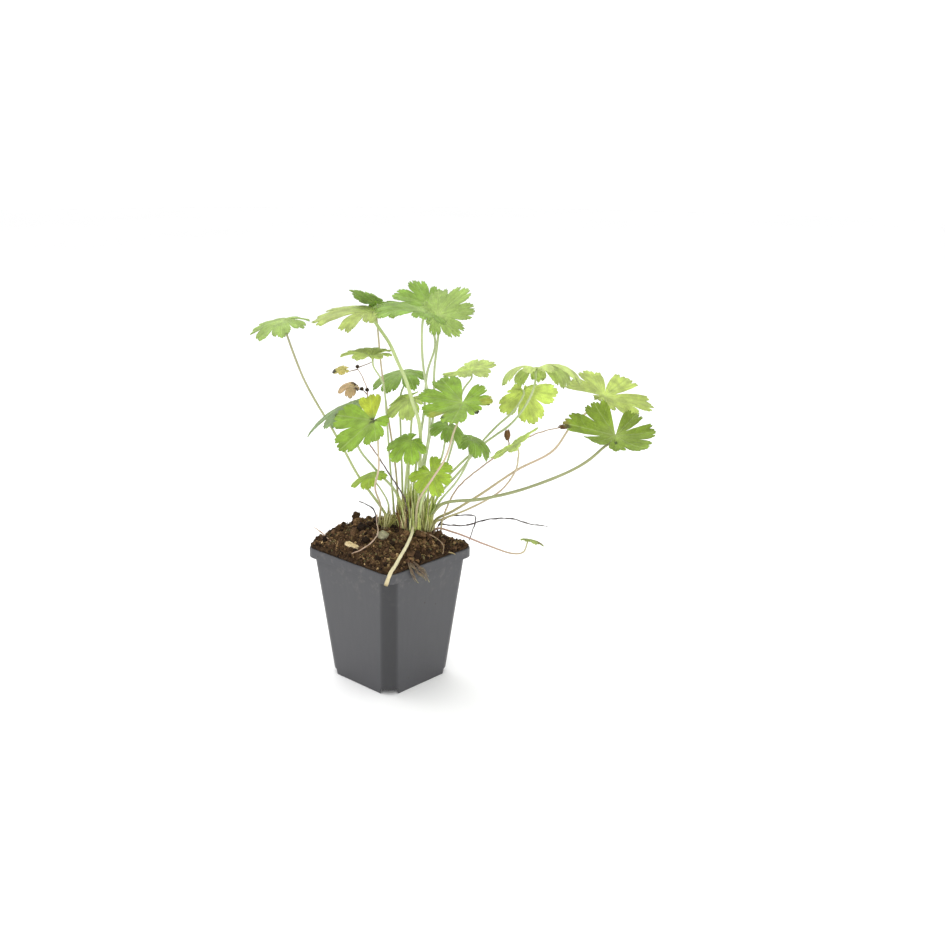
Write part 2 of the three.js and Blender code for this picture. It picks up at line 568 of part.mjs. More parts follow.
function makeSoil() {
  const outline = squareLoop(soil.halfWidth, soil.corner, 0, 4, 7);
  const loops = [outline.map((p) => new THREE.Vector3(p.x, p.y, soil.lip))];
  for (let ring = 0; ring < soil.rings; ring += 1) {
    const share = 1 - ring / soil.rings;
    loops.push(outline.map((p) => {
      const x = p.x * share;
      const y = p.y * share;
      return new THREE.Vector3(x, y, soilHeight(x, y));
    }));
  }
  const mound = toSolid(loft(loops));
  const plug = inside(soil.lip + 1, fit);
  const random = seeded(7);
  const crumbs = Array.from({ length: soil.crumbs }, () => {
    const [x, y] = [random(), random()].map((r) => (2 * r - 1) * (soil.halfWidth - 4));
    const size = 1.2 + 1.8 * random() ** 2;
    const z = soilHeight(x, y) + 0.3 * size;
    const crumb = new THREE.OctahedronGeometry(size);
    crumb.rotateX(2 * random());
    crumb.translate(x, y, z);
    return toSolid(crumb);
  });
  const lump = toPot(-25, 20);
  crumbs.push(toSolid(ball({ at: [lump.x, lump.y, soilAt(-25, 20) + 2], size: [3.4, 3, 3.6] }, 0)));
  return join([mound, plug, ...crumbs]);
}

// ---------------------------------------------------------------- crown and young shoots
const goldenAngle = Math.PI * (3 - Math.sqrt(5));

// a knot that tapers to its root, about the vertical through (u, v)
function knot({ u, v, radius }, low, high, top, grow) {
  const profile = [[0, low - grow], [0.8 * radius + grow, low - grow], [radius + grow, low + 4],
    [radius + grow, high], [0, top + grow]];
  const geometry = new THREE.LatheGeometry(profile.map(([r, z]) => new THREE.Vector2(r, z)), 10);
  geometry.rotateX(Math.PI / 2);
  geometry.translate(u, v, 0);
  return toSolid(geometry);
}

const crownCore = (grow) => knot(crown, crown.bottom, crown.shoulder, crown.top, grow);
const shootCore = (fan, grow) => knot(fan, crown.bottom + 3, fan.low + 0.5, fan.low + 2, grow);

// the old stalk bases that stand up around the crown
function makeCrown() {
  const sheaths = Array.from({ length: crown.sheaths }, (_, k) => {
    const angle = k * goldenAngle;
    const share = (k + 0.5) / crown.sheaths;
    const reach = crown.radius * (0.25 + 0.5 * share);
    const at = (r, z) => [crown.u + r * Math.cos(angle), crown.v + r * Math.sin(angle), z];
    const top = at(reach + 2.5, crown.top + 6 - 5 * share);
    return toSolid(taperedStub(at(reach, crown.shoulder - 1), top, 1.8, 0.8));
  });
  return join([crownCore(0), ...sheaths]);
}

// a fan of short green stalk bases around a knot that sits in the soil
function makeShoots(fan) {
  const stubs = Array.from({ length: fan.count }, (_, k) => {
    const angle = k * goldenAngle + 0.4;
    const share = (k + 0.5) / fan.count;
    const out = (r) => [fan.u + r * Math.cos(angle), fan.v + r * Math.sin(angle)];
    const tip = [...out(1.4 + fan.lean * (0.4 + 0.8 * share)), fan.low + fan.height * (1.05 - 0.4 * share)];
    return toSolid(taperedStub([...out(1.4), fan.low], tip, 1.5, 0.6));
  });
  return join([shootCore(fan, 0), ...stubs]);
}

// ---------------------------------------------------------------- assembly
const plant = new THREE.Group();
plant.rotation.z = plantTurn;
const part = new THREE.Group();
part.add(plant);

function addMesh(group, name, geometry, color, roughness = 0.75) {
  const mesh = new THREE.Mesh(geometry, new THREE.MeshStandardMaterial({ color, roughness, metalness: 0 }));
  mesh.name = name;
  group.add(mesh);
  return mesh;
}

// every stem that stands in the crown or the soil is cut out of them with a little clearance
const stemHoles = [];
function addStem(name, points, thick, color) {
  stemHoles.push(stemHole(points, thick));
  return addMesh(plant, name, tube(points, thick), color);
}

for (const leaf of leaves) {
  const points = stalkPoints(leaf);
  if (leaf.fused) {
    stemHoles.push(stemHole(points, leaf.thick));
    const whole = toSolid(posedBlade(leaf)).add(toSolid(tube(points, leaf.thick)));
    addMesh(plant, `leaf_${leaf.name}`, toGeometry(whole), leaf.green, 0.6);
    continue;
  }
  addStem(`stalk_${leaf.name}`, points, leaf.thick, leaf.stalk);
  if (leaf.name === "top_left") {
    const whole = toSolid(posedBlade(leaf)).add(toSolid(posedBlade(foldedLeaf)));
    addMesh(plant, `blade_${leaf.name}`, toGeometry(whole), leaf.green, 0.6);
    continue;
  }
  const mesh = addMesh(plant, `blade_${leaf.name}`, leafBlade(leaf), leaf.green, 0.6);
  mesh.position.set(...leaf.joint);
  mesh.rotation.copy(leafPose(leaf));
}
addStem("stalk_top_fold", foldedLeaf.stalkPoints, foldedLeaf.thick, stalkPink);

// withered spray with its bud, the two leaves on it, the old flower stem and the dead stalks
function addFused(name, stems, thick, extras, color) {
  for (const points of stems) {
    if (points[0][2] < stalk.ground) stemHoles.push(stemHole(points, thick));
  }
  const solids = [...stems.map((points) => tube(points, thick)), ...extras].map(toSolid);
  const whole = join(solids);
  addMesh(plant, name, toGeometry(whole), color, 0.85);
}

addFused("withered_spray", [drySpray.stem, ...drySpray.twigs], drySpray.thick,
  [ball(drySpray.bud)], dryBrown);
for (const leaf of witheredLeaves) {
  const mesh = addMesh(plant, leaf.name, leafBlade(leaf), leaf.colour, 0.85);
  mesh.position.set(...leaf.joint);
  mesh.rotation.copy(leafPose(leaf));
}
addFused("old_flower_stem", [flowerStem.stem, flowerStem.pedicel], flowerStem.thick,
  [ball(flowerStem.bud), ball(flowerStem.husk)], dryBrown);
addFused("dead_stalks_right", [deadStalks.bent, deadStalks.long], deadStalks.thick, [], "#6b5f5c");
addFused("dead_stalk_left", [deadStalks.left], deadStalks.thick, [], "#7b706c");
addFused("runner", [runner.points], runner.thick, [posedBlade(runner.leaf)], "#a8675c");

// things that lie on the soil, each in a hollow of its own size
const hollows = [];
function addLying(group, name, shape, grown, color) {
  hollows.push({ group, solid: toSolid(grown) });
  addMesh(group, name, shape, color, 0.9);
}
function addLyingStem(group, name, paths, thick, color) {
  hollows.push({ group, solid: join(paths.map((points) => stemHole(points, thick))) });
  const whole = join(paths.map((points) => toSolid(tube(points, thick))));
  addMesh(group, name, toGeometry(whole), color, 0.9);
}
addLyingStem(plant, "broken_stem", [brokenStem.points], brokenStem.thick, "#e4dfba");
addLyingStem(part, "root_fringe", rootFringe.strands, rootFringe.thick, "#6a4c30");

const pebbleAt = [pebble.u, pebble.v, soilAt(pebble.u, pebble.v) + pebble.rise];
addLying(plant, "pebble", ball({ at: pebbleAt, size: pebble.size }),
  ball({ at: pebbleAt, size: pebble.size.map((s) => s + fit) }), "#8a8f78");

function chip(grow) {
  const geometry = new THREE.BoxGeometry(...woodChip.size.map((s) => s + 2 * grow));
  geometry.rotateY(0.12);
  geometry.rotateZ(THREE.MathUtils.degToRad(woodChip.turn));
  geometry.translate(woodChip.u, woodChip.v, soilAt(woodChip.u, woodChip.v) + woodChip.rise);
  return geometry;
}
addLying(plant, "wood_chip", chip(0), chip(fit), "#b08d5f");

// crown and shoots stand in the soil, with a hole in each for every stem that passes it
function hollowsOf(group) {
  return join(hollows.filter((entry) => entry.group === group).map((entry) => entry.solid));
}
const passing = join([...stemHoles, hollowsOf(plant)]);
addMesh(plant, "crown", toGeometry(biggest(makeCrown().subtract(passing))), "#8d6f45", 0.9);
for (const fan of shootFans) {
  addMesh(plant, fan.name, toGeometry(biggest(makeShoots(fan).subtract(passing))), paleGreen, 0.7);
}
const cuts = toGeometry(join([passing, crownCore(fit), ...shootFans.map((fan) => shootCore(fan, fit))]));
cuts.rotateZ(plantTurn);
const soilSolid = biggest(makeSoil().subtract(toSolid(cuts)).subtract(hollowsOf(part)));

addMesh(part, "pot", toGeometry(makePot()), "#5d5d60", 0.45);
addMesh(part, "soil", toGeometry(soilSolid), "#3b2a1e", 0.95);

export default part;
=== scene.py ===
# Hardy geranium (cranesbill) in its square nursery pot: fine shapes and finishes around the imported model.
# Shapes are worked out in millimetres and turned into metres when their piece is made.
import math

import bmesh
import bpy
import numpy as np
from mathutils import Matrix, Vector, noise


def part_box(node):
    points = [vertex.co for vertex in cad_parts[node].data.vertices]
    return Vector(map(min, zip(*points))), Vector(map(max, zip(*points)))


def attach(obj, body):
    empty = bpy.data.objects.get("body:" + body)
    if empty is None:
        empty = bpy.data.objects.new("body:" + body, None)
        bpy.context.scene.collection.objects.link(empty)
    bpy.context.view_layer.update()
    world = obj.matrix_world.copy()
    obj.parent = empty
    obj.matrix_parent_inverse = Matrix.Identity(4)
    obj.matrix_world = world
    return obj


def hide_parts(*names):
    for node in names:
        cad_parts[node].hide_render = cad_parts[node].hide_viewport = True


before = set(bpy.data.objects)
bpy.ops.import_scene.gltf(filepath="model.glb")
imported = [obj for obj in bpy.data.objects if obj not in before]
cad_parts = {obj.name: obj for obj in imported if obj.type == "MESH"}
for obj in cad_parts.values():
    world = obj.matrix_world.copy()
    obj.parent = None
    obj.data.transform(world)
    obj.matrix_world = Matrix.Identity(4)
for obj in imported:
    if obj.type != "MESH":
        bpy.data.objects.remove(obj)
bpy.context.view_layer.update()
print("packed model loaded:", len(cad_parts), "nodes")

mm = 0.001
goldenAngle = math.pi * (3 - math.sqrt(5))

# The plant is laid out in its own frame: u to its right, v away from its front, w up.
plantTurn = math.radians(43.5)  # from the pot's X to the plant's u
plantAxes = np.array([
    [math.cos(plantTurn), -math.sin(plantTurn), 0],
    [math.sin(plantTurn), math.cos(plantTurn), 0],
    [0, 0, 1],
])


def fromPlant(points):
    return np.asarray(points, float) @ plantAxes.T


# ---- camera
camera = {
    "lens": 48.5, "sensor": 36, "distance": 900, "elevation": 16.7, "roll": 0.5,
    "target": (35.6, 0, 152.2),  # plant frame
    "shift": (0.0344, 0.0016),
}


def addCamera():
    tilt, roll = math.radians(camera["elevation"]), math.radians(camera["roll"])
    look = np.array([0, math.cos(tilt), -math.sin(tilt)])
    side = np.array([1.0, 0, 0])
    up = np.cross(side, look)
    side, up = (math.cos(roll) * side + math.sin(roll) * up, math.cos(roll) * up - math.sin(roll) * side)
    spot = fromPlant(np.array(camera["target"]) - camera["distance"] * look) * mm
    data = bpy.data.cameras.new("mainCamera")
    data.lens = camera["lens"]
    data.sensor_width = camera["sensor"]
    data.shift_x, data.shift_y = camera["shift"]
    rig = bpy.data.objects.new("mainCamera", data)
    columns = [Vector(fromPlant(axis)) for axis in (side, up, -look)]
    rig.matrix_world = Matrix.Translation(Vector(spot)) @ Matrix(columns).transposed().to_4x4()
    bpy.context.collection.objects.link(rig)
    bpy.context.scene.camera = rig


addCamera()


# ---- colours and small helpers
def colour(text, alpha=1.0):
    values = [int(text[k:k + 2], 16) / 255 for k in (1, 3, 5)]
    return np.array([v / 12.92 if v < 0.0405 else ((v + 0.055) / 1.055) ** 2.4 for v in values] + [alpha])


def blend(a, b, share):
    share = np.asarray(share, float)[..., None]
    return a * (1 - share) + b * share


def smoothStep(low, high, value):
    share = np.clip((value - low) / (high - low), 0, 1)
    return share * share * (3 - 2 * share)


def unit(vectors):
    return vectors / np.maximum(np.linalg.norm(vectors, axis=-1, keepdims=True), 1e-9)


def heading(angle):
    return np.array([math.cos(angle), math.sin(angle), 0])


def roughness3d(points, scale, octaves=3):
    # fractal noise at each point, about -1 to 1, for bumps of the given size in mm
    return np.array([noise.fractal(Vector(p) / scale, 0.9, 2.1, octaves) for p in points])


def packedBox(node):
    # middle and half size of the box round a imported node
    low, high = (np.array(corner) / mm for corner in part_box(node))
    return (low + high) / 2, (high - low) / 2


# ---- shapes: lists of points and faces that grow until they become one piece
def newShape():
    return {"points": [], "tints": [], "places": [], "faces": [], "size": 0}


def addTo(shape, points, faceSets, tint, place=None, finish=0):
    points = np.asarray(points, float)
    count = len(points)
    shape["points"].append(points)
    shape["tints"].append(np.broadcast_to(tint, (count, 4)))
    shape["places"].append(np.zeros((count, 3)) if place is None else place)
    for faces, smooth in faceSets:
        shape["faces"].append((np.asarray(faces) + shape["size"], finish, smooth))
    shape["size"] += count


def makePiece(name, shape, finishes, nodes=()):
    mesh = bpy.data.meshes.new(name)
    points = np.concatenate(shape["points"]) * mm
    faces = [face for array, _, _ in shape["faces"] for face in array.tolist()]
    mesh.from_pydata(points.tolist(), [], faces)
    tint = mesh.color_attributes.new("tint", "FLOAT_COLOR", "POINT")
    tint.data.foreach_set("color", np.concatenate(shape["tints"]).ravel())
    place = mesh.attributes.new("place", "FLOAT_VECTOR", "POINT")
    place.data.foreach_set("vector", np.concatenate(shape["places"]).ravel())
    mesh.polygons.foreach_set("material_index",
                              [f for array, f, _ in shape["faces"] for _ in range(len(array))])
    mesh.polygons.foreach_set("use_smooth", [s for array, _, s in shape["faces"] for _ in range(len(array))])
    for finish in finishes:
        mesh.materials.append(finish)
    mesh.update()
    piece = bpy.data.objects.new(name, mesh)
    bpy.context.collection.objects.link(piece)
    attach(piece, "root")
    if nodes:
        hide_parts(*nodes)
    return piece


def smoothPath(points, spacing=3.0):
    # a centripetal Catmull-Rom curve through the points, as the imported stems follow
    p = np.asarray(points, float)
    p = np.vstack([2 * p[0] - p[1], p, 2 * p[-1] - p[-2]])
    path = []
    for k in range(1, len(p) - 2):
        before, here, there = [max(np.linalg.norm(p[k + j] - p[k + j - 1]), 1e-4) ** 0.5 for j in (0, 1, 2)]
        behind, ahead = p[k] - p[k - 1], p[k + 1] - p[k]
        leave = behind / before - (p[k + 1] - p[k - 1]) / (before + here) + ahead / here
        arrive = ahead / here - (p[k + 2] - p[k]) / (here + there) + (p[k + 2] - p[k + 1]) / there
        steps = max(2, round(float(np.linalg.norm(p[k + 1] - p[k])) / spacing))
        t = np.linspace(0, 1, steps, endpoint=False)[:, None]
        path.append((2 * t ** 3 - 3 * t ** 2 + 1) * p[k] + (t ** 3 - 2 * t ** 2 + t) * here * leave
                    + (3 * t ** 2 - 2 * t ** 3) * p[k + 1] + (t ** 3 - t ** 2) * here * arrive)
    return np.vstack([*path, p[-2:-1]])


def lengthAlong(path):
    return np.concatenate([[0], np.cumsum(np.linalg.norm(np.diff(path, axis=0), axis=1))])


def stopColours(stops, share):
    places = [place for place, _ in stops]
    tones = np.array([colour(tone) for _, tone in stops])
    return np.stack([np.interp(share, places, tones[:, k]) for k in range(4)], axis=-1)


def ringFaces(rings, count, smooth=(True, True, True)):
    # faces between rings of points, and fans that close both ends round the last two points
    a = np.arange((rings - 1) * count)
    b = a - a % count + (a + 1) % count
    ring, last = np.arange(count), (rings - 1) * count
    following = (ring + 1) % count
    foot, tip = rings * count, rings * count + 1
    return [
        (np.stack([a, b, b + count, a + count], axis=-1), smooth[0]),
        (np.stack([np.full(count, foot), following, ring], axis=-1), smooth[1]),
        (np.stack([np.full(count, tip), last + ring, last + following], axis=-1), smooth[2]),
    ]


def taper(path, places, widths):
    # a width for each point of a path, from its foot to its tip
    return np.interp(np.linspace(0, 1, len(path)), places, widths)


def addTube(shape, path, radii, stops, sides=9, finish=0, flatten=1.0, tintNoise=0.0):
    # a round stem along the path, coloured by its stops from foot to tip
    path = np.asarray(path, float)
    radii = np.broadcast_to(radii, (len(path),))
    tangents = unit(np.gradient(path, axis=0))
    side = unit(np.cross(tangents[0], [0.3, 0.2, 1.0]) + 1e-6)
    rings = []
    turns = np.linspace(0, 2 * math.pi, sides, endpoint=False)
    for centre, tangent, radius in zip(path, tangents, radii):
        side = unit(side - tangent * (side @ tangent))
        other = np.cross(tangent, side)
        outline = np.cos(turns)[:, None] * side + flatten * np.sin(turns)[:, None] * other
        rings.append(centre + radius * outline)
    points = np.vstack([*rings, path[:1], path[-1:]])
    along = lengthAlong(path)
    share = np.append(np.repeat(along / along[-1], sides), [0, 1])
    tints = stopColours(stops, share)
    if tintNoise:
        tints[:, :3] *= 1 + tintNoise * roughness3d(points, 2.5, 2)[:, None]
    place = np.stack([np.append(np.repeat(along, sides), [0, along[-1]]),
                      np.append(np.tile(turns / (2 * math.pi), len(path)), [0, 0]),
                      np.zeros(len(points))], axis=-1)
    addTo(shape, points, ringFaces(len(path), sides, (True, False, False)), tints, place, finish)


def ballData(detail):
    mesh = bmesh.new()
    bmesh.ops.create_icosphere(mesh, subdivisions=detail, radius=1)
    points = np.array([vert.co for vert in mesh.verts])
    faces = np.array([[vert.index for vert in face.verts] for face in mesh.faces])
    mesh.free()
    return points, faces


balls = {detail: ballData(detail) for detail in (1, 2, 3, 4)}


def turnMatrix(rng):
    return np.array(Matrix.Rotation(rng.uniform(0, 6.28), 3, unit(rng.normal(size=3))))


def addBall(shape, at, size, tint, detail=2, rough=0.0, turn=None, finish=0, smooth=True):
    points, faces = balls[detail]
    points = points * (1 + rough * roughness3d(points + np.asarray(at), 0.7, 3)[:, None]) * np.asarray(size)
    if turn is not None:
        points = points @ turn.T
    addTo(shape, points + np.asarray(at), [(faces, smooth)], tint, finish=finish)


# ---- finishes
def newMaterial(name):
    material = bpy.data.materials.new(name)
    material.use_nodes = True
    material.node_tree.nodes.clear()
    return material, material.node_tree


def addNode(tree, kind, inputs=None, **settings):
    node = tree.nodes.new(kind)
    for name, value in settings.items():
        setattr(node, name, value)
    for socket, value in (inputs or {}).items():
        if isinstance(value, bpy.types.NodeSocket):
            tree.links.new(value, node.inputs[socket])
        else:
            node.inputs[socket].default_value = value
    return node


def maths(tree, operation, first, second=None, third=None):
    inputs = {k: value for k, value in enumerate((first, second, third)) if value is not None}
    return addNode(tree, "ShaderNodeMath", inputs, operation=operation).outputs[0]


def rangeOf(tree, value, low, high, first=0.0, last=1.0):
    # maps low..high of a value smoothly to first..last
    inputs = {"Value": value, "From Min": low, "From Max": high, "To Min": first, "To Max": last}
    return addNode(tree, "ShaderNodeMapRange", inputs, interpolation_type="SMOOTHSTEP").outputs[0]


def mixColour(tree, share, first, second, kind="MIX"):
    node = addNode(tree, "ShaderNodeMix", data_type="RGBA", blend_type=kind)
    for socket, value in ((node.inputs[0], share), (node.inputs[6], first), (node.inputs[7], second)):
        if isinstance(value, bpy.types.NodeSocket):
            tree.links.new(value, socket)
        else:
            socket.default_value = value
    return node.outputs[2]


def noiseOf(tree, vector, scale, detail=3.0, roughness=0.5):
    inputs = {"Scale": scale, "Detail": detail, "Roughness": roughness, "Vector": vector}
    return addNode(tree, "ShaderNodeTexNoise", inputs).outputs[0]


def objectCoords(tree):
    return addNode(tree, "ShaderNodeTexCoord").outputs["Object"]


def finishWith(tree, shader):
    output = addNode(tree, "ShaderNodeOutputMaterial")
    tree.links.new(shader, output.inputs["Surface"])


leafFinish = {
    "veinTone": colour("#cfe39a"), "veinShare": 0.24, "sideVeins": 5.0, "forward": 0.75, "streak": 0.1,
    "bump": 0.5, "roughness": 0.52, "sheen": 0.12,
}


def makeLeafMaterial(name, through, throughTone):
    # through is how much light passes the blade, and throughTone what colour it takes on
    material, tree = newMaterial(name)
    tint = addNode(tree, "ShaderNodeAttribute", attribute_name="tint").outputs["Color"]
    place = addNode(tree, "ShaderNodeAttribute", attribute_name="place").outputs["Vector"]
    lobe, share, top = addNode(tree, "ShaderNodeSeparateXYZ", {0: place}).outputs
    offset = maths(tree, "SUBTRACT", lobe, maths(tree, "ROUND", lobe))
    across = maths(tree, "MULTIPLY", maths(tree, "ABSOLUTE", offset), 2.0)
    # the midrib thins towards the tip, and side veins run forward from it on alternate sides
    wide = maths(tree, "MULTIPLY", across, share)
    midrib = rangeOf(tree, wide, 0.012, 0.06, 1.0, 0.0)
    start = maths(tree, "DIVIDE", share, maths(tree, "MULTIPLY_ADD", across, leafFinish["forward"], 1.0))
    side = maths(tree, "MULTIPLY", maths(tree, "GREATER_THAN", offset, 0.0), 0.5)
    phase = maths(tree, "MULTIPLY_ADD", start, leafFinish["sideVeins"], side)
    away = maths(tree, "ABSOLUTE", maths(tree, "SUBTRACT", maths(tree, "FRACT", phase), 0.5))
    sideVein = rangeOf(tree, away, 0.02, 0.10, 1.0, 0.0)
    sideVein = maths(tree, "MULTIPLY", sideVein, rangeOf(tree, across, 1.0, 0.75, 0.0, 0.8))
    sideVein = maths(tree, "MULTIPLY", sideVein, rangeOf(tree, share, 0.1, 0.3))
    coords = objectCoords(tree)
    cells = addNode(tree, "ShaderNodeTexVoronoi", {"Vector": coords, "Scale": 560.0},
                    feature="DISTANCE_TO_EDGE")
    net = rangeOf(tree, cells.outputs["Distance"], 0.0, 0.16, 0.35, 0.0)
    vein = maths(tree, "MAXIMUM", maths(tree, "MAXIMUM", midrib, sideVein), net)
    patch = rangeOf(tree, noiseOf(tree, coords, 130.0, 4.0), 0.32, 0.68, 0.84, 1.14)
    fanned = addNode(tree, "ShaderNodeMapping", {"Vector": place, "Scale": (11.0, 1.6, 0.0)}).outputs[0]
    streak = rangeOf(tree, noiseOf(tree, fanned, 1.0, 3.0), 0.3, 0.7, 1 - leafFinish["streak"],
                     1 + leafFinish["streak"])
    patch = maths(tree, "MULTIPLY", patch, streak)
    speckle = rangeOf(tree, noiseOf(tree, coords, 1400.0, 2.0), 0.3, 0.7, 0.93, 1.06)
    shaded = mixColour(tree, 1.0, tint, maths(tree, "MULTIPLY", patch, speckle), "MULTIPLY")
    veined = mixColour(tree, maths(tree, "MULTIPLY", vein, leafFinish["veinShare"]), shaded,
                       mixColour(tree, 0.55, shaded, tuple(leafFinish["veinTone"])))
    height = maths(tree, "MULTIPLY_ADD", vein, maths(tree, "MULTIPLY_ADD", top, -2.0, 1.0),
                   maths(tree, "MULTIPLY", noiseOf(tree, coords, 2200.0, 2.0), 0.25))
    bump = addNode(tree, "ShaderNodeBump",
                   {"Strength": leafFinish["bump"], "Distance": 0.00035, "Height": height})
    body = addNode(tree, "ShaderNodeBsdfPrincipled", {
        "Base Color": veined, "Roughness": leafFinish["roughness"], "Specular IOR Level": 0.32,
        "Sheen Weight": leafFinish["sheen"], "Sheen Roughness": 0.5, "Normal": bump.outputs[0],
    })
    glow = addNode(tree, "ShaderNodeBsdfTranslucent", {
        "Color": mixColour(tree, 1.0, veined, tuple(throughTone), "MULTIPLY"), "Normal": bump.outputs[0]})
    mix = addNode(tree, "ShaderNodeMixShader", {0: through, 1: body.outputs[0], 2: glow.outputs[0]})
    finishWith(tree, mix.outputs[0])
    return material


def makeTintedMaterial(name, settings):
    # colour painted on the piece, broken up by noise: for stems, bark, soil and stone
    material, tree = newMaterial(name)
    tint = addNode(tree, "ShaderNodeAttribute", attribute_name="tint").outputs["Color"]
    coords = objectCoords(tree)
    if "stretch" in settings:  # streaks that run with the stem, from its own length and turn
        place = addNode(tree, "ShaderNodeAttribute", attribute_name="place").outputs["Vector"]
        coords = addNode(tree, "ShaderNodeMapping",
                         {"Vector": place, "Scale": settings["stretch"]}).outputs[0]
    broad = noiseOf(tree, coords, settings["scale"], 4.0, 0.6)
    fine = noiseOf(tree, coords, settings["scale"] * 5, 3.0, 0.6)
    low, high = settings["contrast"]
    tone = maths(tree, "MULTIPLY", rangeOf(tree, broad, 0.3, 0.7, low, high),
                 rangeOf(tree, fine, 0.3, 0.7, low, high))
    shaded = mixColour(tree, 1.0, tint, tone, "MULTIPLY")
    height = maths(tree, "MULTIPLY_ADD", fine, 0.5, broad)
    bump = addNode(tree, "ShaderNodeBump", {
        "Strength": settings["bump"], "Distance": settings["relief"] * mm, "Height": height})
    body = addNode(tree, "ShaderNodeBsdfPrincipled", {
        "Base Color": shaded, "Roughness": settings["roughness"],
        "Specular IOR Level": settings.get("gloss", 0.3),
        "Sheen Weight": settings.get("sheen", 0.0), "Normal": bump.outputs[0],
    })
    finishWith(tree, body.outputs[0])
    return material


stemFinish = {"scale": 1.0, "stretch": (0.12, 6.0, 1.0), "contrast": (0.9, 1.08), "bump": 0.25, "relief": 0.2,
              "roughness": 0.45, "gloss": 0.4, "sheen": 0.1}
dryFinish = {"scale": 900.0, "contrast": (0.75, 1.2), "bump": 0.5, "relief": 0.3, "roughness": 0.85,
             "gloss": 0.15}
soilFinish = {"scale": 700.0, "contrast": (0.6, 1.35), "bump": 0.8, "relief": 0.6, "roughness": 0.95,
              "gloss": 0.12}
stoneFinish = {"scale": 500.0, "contrast": (0.75, 1.25), "bump": 0.4, "relief": 0.3, "roughness": 0.8,
               "gloss": 0.3}

leafMaterials = {
    "leaf_green": makeLeafMaterial("leafGreen", 0.42, colour("#f4ffb4")),
    "leaf_pale": makeLeafMaterial("leafPale", 0.52, colour("#f8ffc0")),
    "leaf_dark": makeLeafMaterial("leafDark", 0.34, colour("#e8ffb0")),
}
witheredMaterial = makeLeafMaterial("leafWithered", 0.3, colour("#fff0c8"))
stemMaterial = makeTintedMaterial("freshStem", stemFinish)
dryMaterial = makeTintedMaterial("dryStem", dryFinish)
soilMaterial = makeTintedMaterial("pottingSoil", soilFinish)
stoneMaterial = makeTintedMaterial("weatheredStone", stoneFinish)
print("finishes ready")

